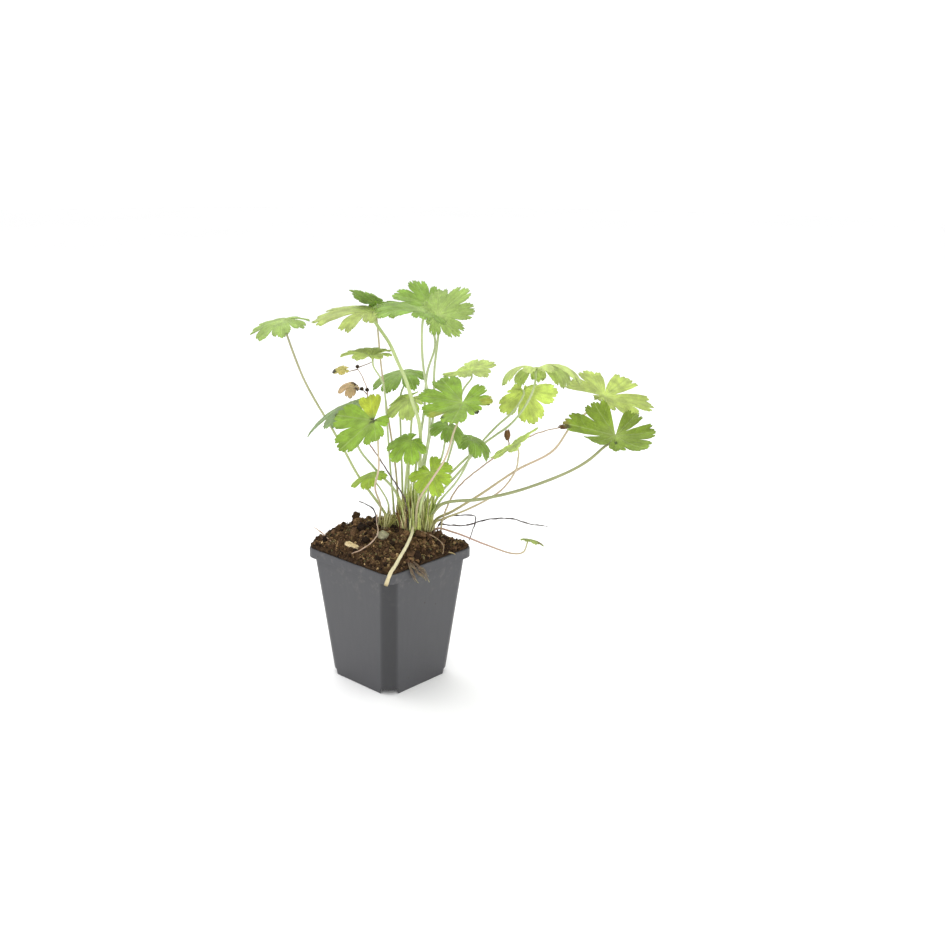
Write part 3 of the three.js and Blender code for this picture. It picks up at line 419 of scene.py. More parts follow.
# ---- leaves
# The poses began as the output of a program that fitted them to the tips of lobes, and many were then
# changed.
# joint is where the stalk meets the blade. turn is the heading of the middle lobe, tilt lowers that end and
# roll lifts the side to its left. reach is the middle lobe's length, rise the slope at the joint, bends and
# lengths each lobe's droop and share of the reach, from the rightmost lobe to the leftmost.
leaves = [
    {"name": "far_left", "joint": (-75, 20, 257), "turn": 175, "tilt": 11, "roll": -3,
     "reach": 29, "rise": 4, "bends": (38, 30, 22, 32, 45, 38, 38),
     "lengths": (0.7, 0.75, 0.95, 0.9, 0.85, 0.9, 0.7), "foot": (-2, 15),
     "via": [(-24, 18, 146), (-34, 19, 165), (-45, 20, 185), (-52, 20, 197), (-62, 20, 217)],
     "thick": 1.8, "slot": "leaf_green", "stalk": "brown"},
    {"name": "top_left", "joint": (-10, -12, 269), "turn": 175, "tilt": 4, "roll": 2,
     "reach": 46, "rise": 8, "bends": (32, 24, 18, 30, 68, 34, 32),
     "lengths": (0.45, 0.7, 1.05, 0.95, 0.6, 0.5, 0.42), "foot": (11, 5),
     "via": [(21, 1, 147), (21.3, -0.5, 165), (21.8, -4, 180.5), (20.6, -15, 195), (16.5, -21.5, 210),
             (11.5, -15, 224), (6, -10, 235), (0.5, -10, 247.5)],
     "thick": 2.6, "slot": "leaf_green", "stalk": "bright", "clefts": {3: 0.6, 4: 0.45}},
    {"name": "top_front", "joint": (25, -42, 273), "turn": 170, "tilt": -16, "roll": 7,
     "reach": 41, "rise": 12, "bends": (40, 40, 35, 45, 50, 35, 40),
     "lengths": (0.42, 0.5, 1, 0.86, 0.95, 0.5, 0.45), "foot": (16, -3),
     "via": [(22, -4, 156), (27, -8, 178), (28, -18, 205), (24, -28, 234), (23, -38, 252)],
     "thick": 1.8, "slot": "leaf_green", "stalk": "green"},
    {"name": "top_back", "joint": (27, 34, 266), "turn": 119, "tilt": -28, "roll": 0,
     "reach": 28, "rise": 8, "bends": (10, 10, 20, 0, 25, 10, 10),
     "lengths": (0.6, 0.85, 0.95, 0.95, 1, 0.85, 0.6), "foot": (16, 15),
     "via": [(18, 13, 151), (24, 13, 195), (26, 15, 222), (31.5, 22, 241)],
     "thick": 1.8, "slot": "leaf_green", "stalk": "green"},
    {"name": "top_right", "joint": (33, -6, 266), "turn": -16, "tilt": -10, "roll": 40,
     "reach": 27, "rise": 6, "bends": (20, 25, 25, 15, 15, 15, 15),
     "lengths": (0.35, 0.6, 0.95, 0.98, 1.08, 0.9, 0.65), "foot": (20, 11),
     "via": [(24, 7, 153), (31, 3, 198), (31, 1, 225), (33, -1, 246)],
     "thick": 1.8, "slot": "leaf_green", "stalk": "green"},
    {"name": "small_high", "joint": (-10, -26, 240.6), "turn": 190, "tilt": 2, "roll": 2,
     "reach": 24, "rise": 34, "bends": (50, 50, 52, 56, 58, 58, 55),
     "lengths": (0.7, 0.85, 0.85, 0.95, 0.8, 0.72, 0.62), "foot": (3, 13),
     "via": [(0, 14, 151), (-2, 3.2, 190), (-3.8, -15, 221)],
     "thick": 1.4, "slot": "leaf_green", "stalk": "green", "fused": True},
    {"name": "dark_arch", "joint": (10, 30, 218), "turn": 190, "tilt": 8, "roll": 0,
     "reach": 29, "rise": 14, "bends": (65, 60, 60, 65, 60, 65, 60),
     "lengths": (0.65, 0.85, 1, 0.95, 0.95, 0.85, 0.62), "foot": (9, 18),
     "via": [(8, 21, 149), (7, 25, 177), (7, 28, 203)],
     "thick": 1.6, "slot": "leaf_dark", "stalk": "green"},
    {"name": "yellow_lobe", "joint": (-9, -40, 201), "turn": 204, "tilt": 38, "roll": -20,
     "reach": 28, "rise": 4, "bends": (-10, 0, 5, -5, 20),
     "lengths": (0.75, 1.1, 1.1, 0.75, 0.42), "foot": (-8, 0),
     "via": [(-6, -12, 132), (-9, -26, 150), (-6, -34, 166), (-6, -38, 179)],
     "thick": 1.4, "slot": "leaf_green", "stalk": "pink"},
    {"name": "grey_edge", "joint": (-26, 2, 203), "turn": 190, "tilt": 19, "roll": 7,
     "reach": 40, "rise": 4, "bends": (40, 40, 40, 35, 40),
     "lengths": (0.5, 0.5, 1, 0.9, 0.35), "foot": (5, 4),
     "via": [(5, 5, 135), (-10, 9, 152), (-23, 9, 170)],
     "thick": 1.8, "slot": "leaf_dark", "stalk": "green"},
    {"name": "light_mid", "joint": (13.8, 5, 205.5), "turn": 205, "tilt": 21, "roll": -3,
     "reach": 31, "rise": 6, "bends": (35, 35, 45, 35, 35),
     "lengths": (0.45, 0.6, 0.68, 0.8, 0.4), "foot": (12.6, 21.5),
     "via": [(13, 20, 150), (14.5, 14, 178), (15.5, 9, 194)],
     "thick": 1.8, "slot": "leaf_pale", "stalk": "bright"},
    {"name": "big_front", "joint": (50, -45, 215), "turn": 257, "tilt": 19, "roll": 2,
     "reach": 34, "rise": 4, "bends": (5, -5, 0, -10, 15, 5, -10),
     "lengths": (1.05, 0.9, 0.85, 1, 0.5, 0.6, 0.6), "foot": (19, -10),
     "via": [(21, -32, 142), (31, -48, 164), (39, -50, 178), (45, -47, 197)],
     "thick": 1.5, "slot": "leaf_green", "stalk": "pink"},
    {"name": "pale_upper", "joint": (56, 6, 226), "turn": -12, "tilt": -14, "roll": 8,
     "reach": 23, "rise": 8, "bends": (0, 15, 25, 15, 5, 15, 25),
     "lengths": (0.9, 0.66, 0.95, 0.82, 0.7, 0.9, 0.62), "foot": (22, 18),
     "via": [(36, 24, 140), (47, 22, 179), (51, 14, 209)],
     "thick": 1.6, "slot": "leaf_pale", "stalk": "green"},
    {"name": "dark_mid", "joint": (15, -10, 179), "turn": 222, "tilt": 21, "roll": -12,
     "reach": 21, "rise": 6, "bends": (30, 45, 45, 50, 40, 50, 50),
     "lengths": (0.5, 0.75, 0.9, 1, 1.05, 0.7, 0.4), "foot": (10, 11),
     "via": [(11, 5, 140), (13, -4, 162)],
     "thick": 1.8, "slot": "leaf_dark", "stalk": "bright"},
    {"name": "arch_left", "joint": (41, -25, 194), "turn": 268, "tilt": 13, "roll": -16,
     "reach": 17, "rise": 12, "bends": (60, 75, 70, 60, 80, 70, 60),
     "lengths": (0.62, 0.83, 0.95, 1, 0.97, 0.87, 0.62), "foot": (22, 6),
     "via": [(25, 3, 139), (36, -6, 164), (39, -18, 182)],
     "thick": 1.6, "slot": "leaf_dark", "stalk": "green"},
    {"name": "arch_right", "joint": (57, -10, 181), "turn": 335, "tilt": 20, "roll": -4,
     "reach": 20, "rise": 12, "bends": (80, 70, 65, 85, 65, 65, 65),
     "lengths": (0.55, 0.82, 1, 1.04, 1.04, 0.85, 0.62), "foot": (27, 3),
     "via": [(35, 0, 131), (48, -4, 149), (56, -7, 167)],
     "thick": 1.6, "slot": "leaf_dark", "stalk": "green"},
    {"name": "folded_right", "joint": (86, -28, 182), "turn": 10, "tilt": -33, "roll": -12,
     "reach": 22, "rise": 2, "bends": (0, 10, 5, 0, 5, 10, 5),
     "lengths": (0.9, 0.85, 0.6, 0.9, 0.7, 0.85, 1), "foot": (31, 6),
     "via": [(39, 5, 117.5), (56, 4, 125), (78, -4, 141), (88, -16, 160), (89, -24, 171)],
     "thick": 1.4, "slot": "leaf_pale", "stalk": "pink"},
    {"name": "bright_low", "joint": (29, -22, 160), "turn": 294, "tilt": 38, "roll": 14,
     "reach": 20, "rise": 4, "bends": (20, 30, 25, 20, 25, 30, 10),
     "lengths": (0.4, 0.8, 0.9, 1, 0.8, 0.87, 0.7), "foot": (21, -3),
     "via": [(23, -11, 136), (27, -14, 146)],
     "thick": 1.8, "slot": "leaf_green", "stalk": "bright", "fused": True},
    {"name": "right_hang", "joint": (93.2, 3, 212.5), "turn": 43, "tilt": 65, "roll": -44,
     "reach": 28.5, "rise": 6, "bends": (10, -12, 25, 20, 10),
     "lengths": (0.15, 0.9, 0.95, 0.8, 0.3), "foot": (27, 9),
     "via": [(34, 12, 131), (50, 12, 151), (65.7, 9, 174), (75.7, 4, 187), (84.6, -1, 196.8),
             (90, -4, 205)],
     "thick": 1.8, "slot": "leaf_pale", "stalk": "green"},
    {"name": "right_arch", "joint": (101.3, 4, 226.5), "turn": 345, "tilt": -7, "roll": -20,
     "reach": 40, "rise": 34, "bends": (120, 100, 100, 108, 120, 110, 125),
     "lengths": (0.8, 0.3, 0.3, 1, 0.8, 0.45, 0.62), "foot": (28, 14),
     "via": [(33, 16, 135), (48, 16, 153), (64, 13, 169), (75, 5, 180), (84, -5, 190),
             (92, -10, 201.5), (98, -10, 213)],
     "thick": 1.8, "slot": "leaf_green", "stalk": "green"},
    {"name": "far_right", "joint": (151, 14, 206), "turn": 12, "tilt": 10, "roll": 18,
     "reach": 39, "rise": 4, "bends": (-5, 15, 20, 15, 0, 10, 20),
     "lengths": (0.3, 0.45, 0.68, 1, 1, 0.95, 0.75), "foot": (32, 12),
     "via": [(45, 11, 121), (64, 12, 133), (91, 13, 152), (116, 14, 166), (129, 14, 185), (143, 15, 197)],
     "thick": 1.8, "slot": "leaf_pale", "stalk": "pink", "sunk": 5, "clefts": {4: 0.3, 5: 0.4}},
    {"name": "front_right", "joint": (154, -30, 189.5), "turn": 263, "tilt": 34, "roll": -5,
     "reach": 34, "rise": 4, "bends": (-20, -5, -40, -30, -40, -15, -10),
     "lengths": (0.85, 1.08, 0.75, 0.6, 0.9, 0.8, 0.7), "foot": (27, -1),
     "via": [(36, -6, 131), (65, -22, 141), (92, -31, 151), (124, -33, 165), (137, -32, 173),
             (147, -31, 182)],
     "thick": 2.2, "slot": "leaf_green", "stalk": "dull", "clefts": {2: 0.4, 3: 0.5, 6: 0.45}},
    {"name": "low_left", "joint": (-12, -4, 153), "turn": 193, "tilt": 16, "roll": 3,
     "reach": 18, "rise": 6, "bends": (50, 50, 40, 55, 45),
     "lengths": (0.75, 0.95, 1, 0.96, 0.74), "foot": (-3, 7),
     "via": [(-1, 3, 128), (-7, -1, 142)],
     "thick": 1.4, "slot": "leaf_green", "stalk": "green", "fused": True},
]
foldedLeaf = {
    "name": "top_fold", "joint": (-10, 2, 273), "turn": 200, "tilt": -34, "roll": 16, "reach": 20, "rise": 2,
    "bends": (10, 0, 15, 10, 10), "lengths": (0.75, 0.95, 1, 0.95, 0.75),
    "path": [(6, 12, 105), (6, 12, 113), (4, 10, 152), (-2, 7, 197), (-6, 5, 230), (-8, 3, 255),
             (-9, 1, 267)],
    "thick": 1.4, "stalk": "pink",
}

# painted shade: olive and deep are darker greens for leaves that lie in the shade of others
leafGreens = {  # from shaded and full green leaves to those that fade or turn yellow
    "shadedOlive": "#88a030", "shadedGreen": "#90b048", "lush": "#98b840", "grey": "#90a870", "soft": "#a8c068",
    "fresh": "#a8c850", "young": "#b8d050", "pale": "#c0cc78", "faded": "#d0dc90", "yellowing": "#d8e468",
}
# what only the finer blades have: the colour of the upper face, stronger teeth, and patches of another
# colour, each on a whole lobe or round a place on the blade (lobe and share of its length)
bladeLooks = {
    "far_left": {"tone": leafGreens["soft"],
                 "patches": [{"at": (1, 0.97), "radius": 1.6, "tone": "#c3a860"}]},
    "top_left": {"tone": leafGreens["pale"]},
    "top_front": {"tone": leafGreens["shadedGreen"], "toothed": 1.4},
    "top_back": {"tone": leafGreens["shadedGreen"], "toothed": 1.4},
    "top_right": {"tone": leafGreens["soft"], "toothed": 1.8},
    "small_high": {"tone": leafGreens["pale"],
                   "patches": [{"at": (0, 0.85), "radius": 1.5, "tone": "#3f3d22"},
                               {"at": (0.4, 1.0), "radius": 1.3, "tone": "#6a5a34"}]},
    "dark_arch": {"tone": leafGreens["shadedGreen"]},
    "yellow_lobe": {"tone": leafGreens["lush"], "patches": [
        {"lobe": 0, "tone": "#d3da4c", "strength": 0.85, "from": 0.05},
        {"at": (1, 0.0), "radius": 2.2, "tone": "#3c3a20"},
        {"at": (1, 0.98), "radius": 1.4, "tone": "#41401f"}]},
    "grey_edge": {"tone": leafGreens["grey"]},
    "light_mid": {"tone": leafGreens["faded"]},
    "big_front": {"tone": leafGreens["lush"], "patches": [
        {"at": (2.3, 0.85), "radius": 6.0, "tone": "#b9b040", "strength": 0.5},
        {"at": (5.0, 0.85), "radius": 5.0, "tone": "#b5a844", "strength": 0.5},
        {"at": (2.62, 0.8), "radius": 1.8, "tone": "#2e2b16"},
        {"at": (4.0, 0.95), "radius": 1.9, "tone": "#2a2814"},
        {"at": (4.7, 0.95), "radius": 1.6, "tone": "#35301a"}]},
    "pale_upper": {"tone": leafGreens["faded"]},
    "dark_mid": {"tone": leafGreens["fresh"]},
    "arch_left": {"tone": leafGreens["shadedGreen"]},
    "arch_right": {"tone": leafGreens["shadedGreen"]},
    "folded_right": {"tone": leafGreens["faded"]},
    "bright_low": {"tone": leafGreens["young"]},
    "right_hang": {"tone": leafGreens["yellowing"]},
    "right_arch": {"tone": leafGreens["faded"],
                   "patches": [{"at": (3.3, 0.55), "radius": 1.5, "tone": "#35381b"}]},
    "far_right": {"tone": leafGreens["pale"]},
    # painted shade: this leaf's olive tone is darkened for the shade of the leaf above it
    "front_right": {"tone": leafGreens["shadedOlive"],
                    "patches": [{"at": (1.0, 1.0), "radius": 5.0, "tone": "#94853f", "strength": 0.9},
                                {"at": (1.1, 0.9), "radius": 2.6, "tone": "#4c4322"},
                                {"at": (3.0, 0.4), "radius": 1.2, "tone": "#3f4f1a"}]},
    "low_left": {"tone": leafGreens["young"],
                 "patches": [{"at": (1, 1.0), "radius": 1.6, "tone": "#3b3a20"}]},
    "top_fold": {"tone": leafGreens["shadedGreen"]},
}
# what the blades share: the outline of one lobe, and how it is drawn
bladeForm = {
    "spread": {5: 62, 7: 48},  # degrees from lobe to lobe
    "thick": 0.42, "rows": 13, "keel": 0.05, "quilt": 0.011, "wave": 0.018,
    "hull": [(0, 1), (0.12, 0.995), (0.3, 0.98), (0.56, 0.965), (0.7, 0.92), (0.8, 0.865), (0.88, 0.79),
             (0.94, 0.68), (0.98, 0.53), (1, 0.42)],  # place across a lobe, and share of its length
    "notches": [(0.34, 0.115, 0.1), (0.13, 0.045, 0.07), (0.54, 0.04, 0.06), (0.7, 0.05, 0.06),
                (0.83, 0.04, 0.05)],
    "columns": (0, 0.05, 0.09, 0.13, 0.17, 0.22, 0.28, 0.31, 0.34, 0.37, 0.42, 0.48, 0.54, 0.58, 0.64, 0.7,
                0.74, 0.79, 0.83, 0.87, 0.91, 0.95, 0.98, 1),
    "backSinus": 0.3,
    "cleft": (0, 0.14, 0.36),  # how a deeper gap between lobes widens from its middle
}
underTone, heartTone = colour("#c9d3a2"), colour("#dfe8a4")


def lobeEdge(place, across, toothed, clefts):
    # share of the lobe's length at which the blade ends, with rounded teeth between sharp notches
    a = np.abs(across)
    places, shares = zip(*bladeForm["hull"])
    edge = np.interp(a, places, shares)
    for at, depth, width in bladeForm["notches"]:
        edge = edge - toothed * depth * np.clip(1 - np.abs(a - at) / width, 0, 1) ** 1.2
    for lobe, depth in clefts.items():  # a deeper gap on the right of this lobe
        edge = edge * np.interp(2 * np.abs(place - lobe + 0.5), bladeForm["cleft"],
                                [depth, math.sqrt(depth), 1])
    return edge


def leafSurface(leaf, place, share):
    # the blade's middle surface in its own frame: joint at the origin, middle lobe along X
    count = len(leaf["bends"])
    held = np.clip(place, 0, count - 1)
    low = np.minimum(np.floor(held), count - 2).astype(int)
    step = smoothStep(0, 1, held - low)
    lengths, bends = np.array(leaf["lengths"]), np.radians(leaf["bends"])
    length = leaf["reach"] * (lengths[low] * (1 - step) + lengths[low + 1] * step)
    bend = bends[low] * (1 - step) + bends[low + 1] * step
    curl = np.where(np.abs(bend) < 0.01, 0.01, bend) / length
    start = math.radians(leaf["rise"])
    slope = curl * share * length - start
    out = (np.sin(slope) + math.sin(start)) / curl
    down = (math.cos(start) - np.cos(slope)) / curl
    lobe = np.clip(np.rint(place), 0, count - 1)
    across = 2 * (place - lobe)
    keel = bladeForm["keel"] * leaf["reach"] * share * (np.abs(across) - 0.4)
    angle = np.radians(bladeForm["spread"][count]) * (place - (count - 1) / 2)
    # veins sunk between raised cushions, and a margin that waves
    phase = bladeForm["quilt"] * leaf["reach"] * np.abs(np.sin(
        math.pi * (leafFinish["sideVeins"] * share / (1 + leafFinish["forward"] * np.abs(across))
                   + 0.5 * (across > 0) - 0.5)))
    quilt = phase * (1 - np.abs(across) ** 4) * smoothStep(0.05, 0.3, share)
    wave = bladeForm["wave"] * leaf["reach"] * share ** 2.5 * np.sin(7.5 * place + 2.2 * leaf.get("seed", 0)
                                                                     + 3 * np.sin(2.3 * place))
    return np.stack([out * np.cos(angle), out * np.sin(angle), keel - down + quilt + wave], axis=-1)


def leafTurn(leaf):
    roll, tilt, turn = [math.radians(leaf[key]) for key in ("roll", "tilt", "turn")]
    return np.array(Matrix.Rotation(turn, 3, "Z") @ Matrix.Rotation(tilt, 3, "Y")
                    @ Matrix.Rotation(roll, 3, "X"))


def addBlade(shape, leaf, finish=0):
    count = len(leaf["bends"])
    half = np.array(bladeForm["columns"])
    lobeColumns = np.concatenate([-half[:0:-1], half])
    place = np.unique(np.concatenate([lobe + lobeColumns / 2 for lobe in range(count)]).round(5))
    across = 2 * (place - np.clip(np.rint(place), 0, count - 1))
    edge = lobeEdge(place, across, leaf.get("toothed", 1.0), leaf.get("clefts", {}))
    edge[[0, -1]] = bladeForm["backSinus"]
    rows = np.linspace(0, 1, bladeForm["rows"] + 1)[1:]
    share = rows[:, None] * edge
    spot = np.broadcast_to(place, share.shape)
    middle = leafSurface(leaf, spot, share)
    small = 0.01
    safe = np.maximum(share, 0.06)
    outward = leafSurface(leaf, spot, safe + small) - leafSurface(leaf, spot, safe - small)
    inside = np.clip(spot, place[0] + small, place[-1] - small)
    around = leafSurface(leaf, inside + small, safe) - leafSurface(leaf, inside - small, safe)
    normal = unit(np.cross(outward, around))
    rib = np.exp(-(across * share / 0.035) ** 2) * (1 - 0.75 * share) * smoothStep(0, 0.06, share)
    columns, size = len(place), share.size
    upper = middle + normal * (bladeForm["thick"] / 2 - 0.15 * rib[..., None])
    under = middle - normal * (bladeForm["thick"] / 2 + 0.45 * rib[..., None])
    heart = np.array([[0, 0, bladeForm["thick"] / 2]])
    points = np.vstack([heart, upper.reshape(-1, 3), -heart, under.reshape(-1, 3)])
    grid = 1 + np.arange(size).reshape(share.shape)
    quads = np.stack([grid[:-1, :-1], grid[1:, :-1], grid[1:, 1:], grid[:-1, 1:]], axis=-1).reshape(-1, 4)
    fan = np.stack([np.zeros(columns - 1, int), grid[0, :-1], grid[0, 1:]], axis=-1)
    below = size + 1
    border = np.concatenate([[0], grid[:, 0], grid[-1, 1:-1], grid[::-1, -1]])
    ahead = np.roll(border, -1)
    rim = np.stack([border, border + below, ahead + below, ahead], axis=-1)
    tints = bladeTints(leaf, spot, share, across, middle)
    flatPlace = np.stack([spot, share], axis=-1).reshape(-1, 2)
    places = np.vstack([[0, 0, 1], np.column_stack([flatPlace, np.ones(size)]),
                        [0, 0, 0], np.column_stack([flatPlace, np.zeros(size)])])
    world = fromPlant(points @ leafTurn(leaf).T + np.array(leaf["joint"]))
    addTo(shape, world,
          [(quads, True), (quads[:, ::-1] + below, True), (fan, True), (fan[:, ::-1] + below, True),
           (rim, False)], tints, places, finish)


def bladeTints(leaf, spot, share, across, middle):
    upper = colour(leaf["tone"])
    tones = {"top": upper, "under": blend(upper, underTone, 0.4), "heart": blend(upper, heartTone, 0.4)}
    faces = []
    rng = np.random.default_rng(leaf.get("seed", 0) + 11)
    lobeShade = rng.uniform(0.92, 1.08, len(leaf["bends"]) + 1)
    shade = np.interp(spot, np.arange(len(lobeShade)) - 0.5, lobeShade)
    for key in ("top", "under"):
        tint = np.broadcast_to(tones[key], share.shape + (4,)).copy()
        tint = blend(tint, tones["heart"], 0.7 * np.clip(1 - share / 0.5, 0, 1) ** 1.5)
        rib = np.exp(-(across * share / 0.03) ** 2) * 0.5
        tint = blend(tint, tones["heart"], rib)
        tint[..., :3] *= shade[..., None]
        for patch in leaf.get("patches", ()):
            tint = blend(tint, colour(patch["tone"]), patchShare(leaf, patch, spot, share, middle))
        centre = tint[0].mean(axis=0, keepdims=True)
        faces.append(np.vstack([centre, tint.reshape(-1, 4)]))
    return np.vstack(faces)


def patchShare(leaf, patch, spot, share, middle):
    # a patch covers a whole lobe, or a round spot of a size in mm
    if "lobe" in patch:
        inLobe = smoothStep(0.56, 0.44, np.abs(spot - patch["lobe"]))
        start = patch.get("from", 0.1)
        return patch.get("strength", 1) * inLobe * smoothStep(start, start + 0.3, share)
    at = leafSurface(leaf, np.array([float(patch["at"][0])]), np.array([patch["at"][1]]))[0]
    away = np.linalg.norm(middle - at, axis=-1)
    ragged = 1 + 0.25 * np.sin(5 * spot + 17 * share)
    return patch.get("strength", 1) * smoothStep(patch["radius"] * 1.25, patch["radius"] * 0.7, away * ragged)


stalkTones = {
    "green": [(0, "#aeb878"), (0.2, "#b6c287"), (0.5, "#b9c497"), (0.8, "#adb88a"), (1, "#b2bf86")],
    "bright": [(0, "#c3cc8c"), (0.3, "#cad69a"), (0.8, "#bdcb8e"), (1, "#bccd88")],
    "pink": [(0, "#a3a06c"), (0.25, "#b0a67e"), (0.6, "#bfaa94"), (1, "#bdb58e")],
    "dull": [(0, "#b4b87c"), (0.2, "#9aa070"), (0.6, "#8c9068"), (1, "#969868")],
    "brown": [(0, "#b4bd80"), (0.3, "#bac48e"), (0.75, "#a9a684"), (1, "#a09c7a")],
}
stalkForm = {
    "foot": 105, "ground": 113, "neck": 5, "hairEvery": 1.6, "hairLength": 0.7, "hairWidth": 0.07,
    # places along a stalk, and how wide it is there
    "places": (0, 0.12, 0.5, 0.96, 1), "widths": (1.35, 1.12, 1.0, 0.86, 1.0),
}


def stalkPath(leaf):
    if "path" in leaf:
        return smoothPath(leaf["path"])
    up = leafTurn(leaf) @ np.array([0, 0, 1.0])
    joint = np.array(leaf["joint"], float)
    (u, v), via = leaf["foot"], leaf["via"]
    gap = 0 if leaf.get("fused") else 0.7
    points = [(u, v, stalkForm["foot"] - leaf.get("sunk", 0)), (u, v, stalkForm["ground"]), *via,
              joint - stalkForm["neck"] * up, joint - gap * up]
    path = smoothPath(points)
    return path if leaf.get("fused") else np.vstack([path, joint - 0.1 * up])


def addHairs(shape, path, radii, rng, tone, finish=0):
    # short soft hairs that stand out all round a stem
    along = lengthAlong(path)
    count = int(along[-1] / stalkForm["hairEvery"] * 2.2)
    spots = np.sort(rng.uniform(0.08, 0.99, count)) * along[-1]
    centres = np.stack([np.interp(spots, along, path[:, k]) for k in range(3)], axis=-1)
    radius = np.interp(spots, along, radii)[:, None]
    tangents = unit(np.stack([np.interp(spots, along, np.gradient(path[:, k], along)) for k in range(3)],
                             axis=-1))
    out = unit(np.cross(tangents, rng.normal(size=(count, 3))))
    beside = np.cross(tangents, out)
    root = centres + out * radius * 0.9
    length = stalkForm["hairLength"] * rng.uniform(0.5, 1.1, (count, 1))
    tip = root + out * length + tangents * length * rng.uniform(-0.6, 0.2, (count, 1))
    width = stalkForm["hairWidth"]
    corners = [root + beside * width, root - beside * width * 0.5 + tangents * width,
               root - beside * width * 0.5 - tangents * width, tip]
    points = np.stack(corners, axis=1).reshape(-1, 3)
    first = 4 * np.arange(count)[:, None]
    faces = np.vstack([first + [0, 3, 1], first + [1, 3, 2], first + [2, 3, 0], first + [0, 1, 2]])
    addTo(shape, points, [(faces, False)], colour(tone), finish=finish)


def addStalk(shape, leaf, rng, finish=0):
    path = fromPlant(stalkPath(leaf))
    share = lengthAlong(path) / lengthAlong(path)[-1]
    thick = leaf["thick"] / 2
    radii = thick * np.interp(share, stalkForm["places"], stalkForm["widths"])
    radii = radii * (1 + 0.04 * np.sin(share * 37 + leaf["thick"]))
    addTube(shape, path, radii, stalkTones[leaf["stalk"]], sides=10, finish=finish)
    addHairs(shape, path, radii, rng, "#e4ecc4", finish)


def makeLeaf(leaf, index):
    leaf.update(bladeLooks[leaf["name"]], seed=index)
    rng = np.random.default_rng(100 + index)
    blade, name = leafMaterials[leaf["slot"]], leaf["name"]
    shape = newShape()
    addBlade(shape, leaf)
    if name == "top_left":
        addBlade(shape, dict(foldedLeaf, seed=50, **bladeLooks["top_fold"]))
    if leaf.get("fused"):
        addStalk(shape, leaf, rng, finish=1)
        makePiece(name + "_leaf", shape, [blade, stemMaterial], ["leaf_" + name])
        return
    makePiece(name + "_blade", shape, [blade], ["blade_" + name])
    makeStalk(leaf, rng)


def makeStalk(leaf, rng):
    shape = newShape()
    addStalk(shape, leaf, rng)
    makePiece(leaf["name"] + "_stalk", shape, [stemMaterial], ["stalk_" + leaf["name"]])


for index, leaf in enumerate(leaves):
    makeLeaf(leaf, index)
makeStalk(foldedLeaf, np.random.default_rng(99))
print("leaves and stalks made:", len(leaves) + 1)

# ---- withered spray, old flower stem, dead stalks and runner
spray = {
    "thick": 1.1,
    "stem": [(13, -5, 105), (13, -5, 120), (11, -4, 134), (-1, 3, 152), (-9, 6, 164), (-15, 5, 174),
             (-17, 4, 191), (-15.5, 5, 210), (-19, 10, 219), (-23, 14, 225)],
    "twigs": [[(-15.6, 5, 208), (-19, 8, 210.5), (-22.5, 10, 210.5)],
              [(-23, 14, 224), (-28, 13, 223), (-32, 12, 223)],
              [(-23, 14, 225), (-18, 15, 227), (-13, 15, 229)]],
    "twigThick": 0.8, "twigStops": [(0, "#a08c7e"), (1, "#8c7a68")],
    "stops": [(0, "#8f8478"), (0.25, "#6b5f60"), (0.45, "#7d6f6c"), (0.6, "#b79c90"), (1, "#b8a294")],
    "buds": [
        {"at": (-23, 14, 226), "size": (1.05, 1.0, 1.2), "tones": ("#3a3028", "#5a4a3a"), "sepals": 5,
         "seed": 1},
        {"at": (-15.6, 5, 211.5), "size": (1.3, 1.1, 1.2), "tones": ("#33291f", "#54452f"), "sepals": 3,
         "seed": 2},
        {"at": (-19.5, 8, 211.5), "size": (1.2, 1.4, 1.3), "tones": ("#2f261d", "#54452f"), "sepals": 3,
         "seed": 3},
    ],
}
witheredLeaves = [
    {"name": "withered_leaf_tan", "joint": (-24.6, 10.7, 212.2), "turn": 190, "tilt": 6, "roll": -18,
     "reach": 14.5, "rise": 40, "bends": (110, 110, 105, 110, 95), "lengths": (0.3, 0.8, 1, 0.9, 0.3),
     "slot": "withered_tan", "tone": "#d2b48c", "seed": 31,
     "patches": [{"at": (0.3, 0.55), "radius": 2.4, "tone": "#5a3f2a"},
                 {"at": (3.6, 0.7), "radius": 1.8, "tone": "#5a3f2a"}]},
    {"name": "withered_leaf_yellow", "joint": (-31.5, 12, 224.2), "turn": 184, "tilt": 8, "roll": -25,
     "reach": 9.5, "rise": 18, "bends": (50, 40, 48, 40, 50), "lengths": (0.4, 0.65, 1, 0.65, 0.4),
     "slot": "withered_yellow", "tone": "#dcd07a", "seed": 32,
     "patches": [{"at": (2, 0.95), "radius": 3, "tone": "#3c3226"}]},
]
flowerStem = {
    "thick": 1.3,
    "stem": [(37, 2, 104), (37, 2, 114), (47, 7, 138), (67, 4, 158), (83, 0, 171), (100, -3, 182),
             (112, -6, 187), (119, -8, 189)],
    "pedicel": [(83, 0, 171), (84, 1, 175), (82.8, 0, 178.5)],
    "stops": [(0, "#b9b48a"), (0.3, "#b59f8c"), (0.75, "#bda79a"), (1, "#a8937c")],
    "pedicelThick": 1.1, "pedicelStops": [(0, "#a8977c"), (1, "#7a6246")],
    "buds": [
        {"at": (82.5, 0, 181), "size": (1.9, 1.9, 3.7), "tones": ("#6d5136", "#8a6a48"), "sepals": 5,
         "seed": 4},
        {"at": (120.5, -8.5, 189.5), "size": (3.0, 1.7, 1.5), "tones": ("#6a5034", "#94764e"), "sepals": 5,
         "seed": 5},
    ],
}
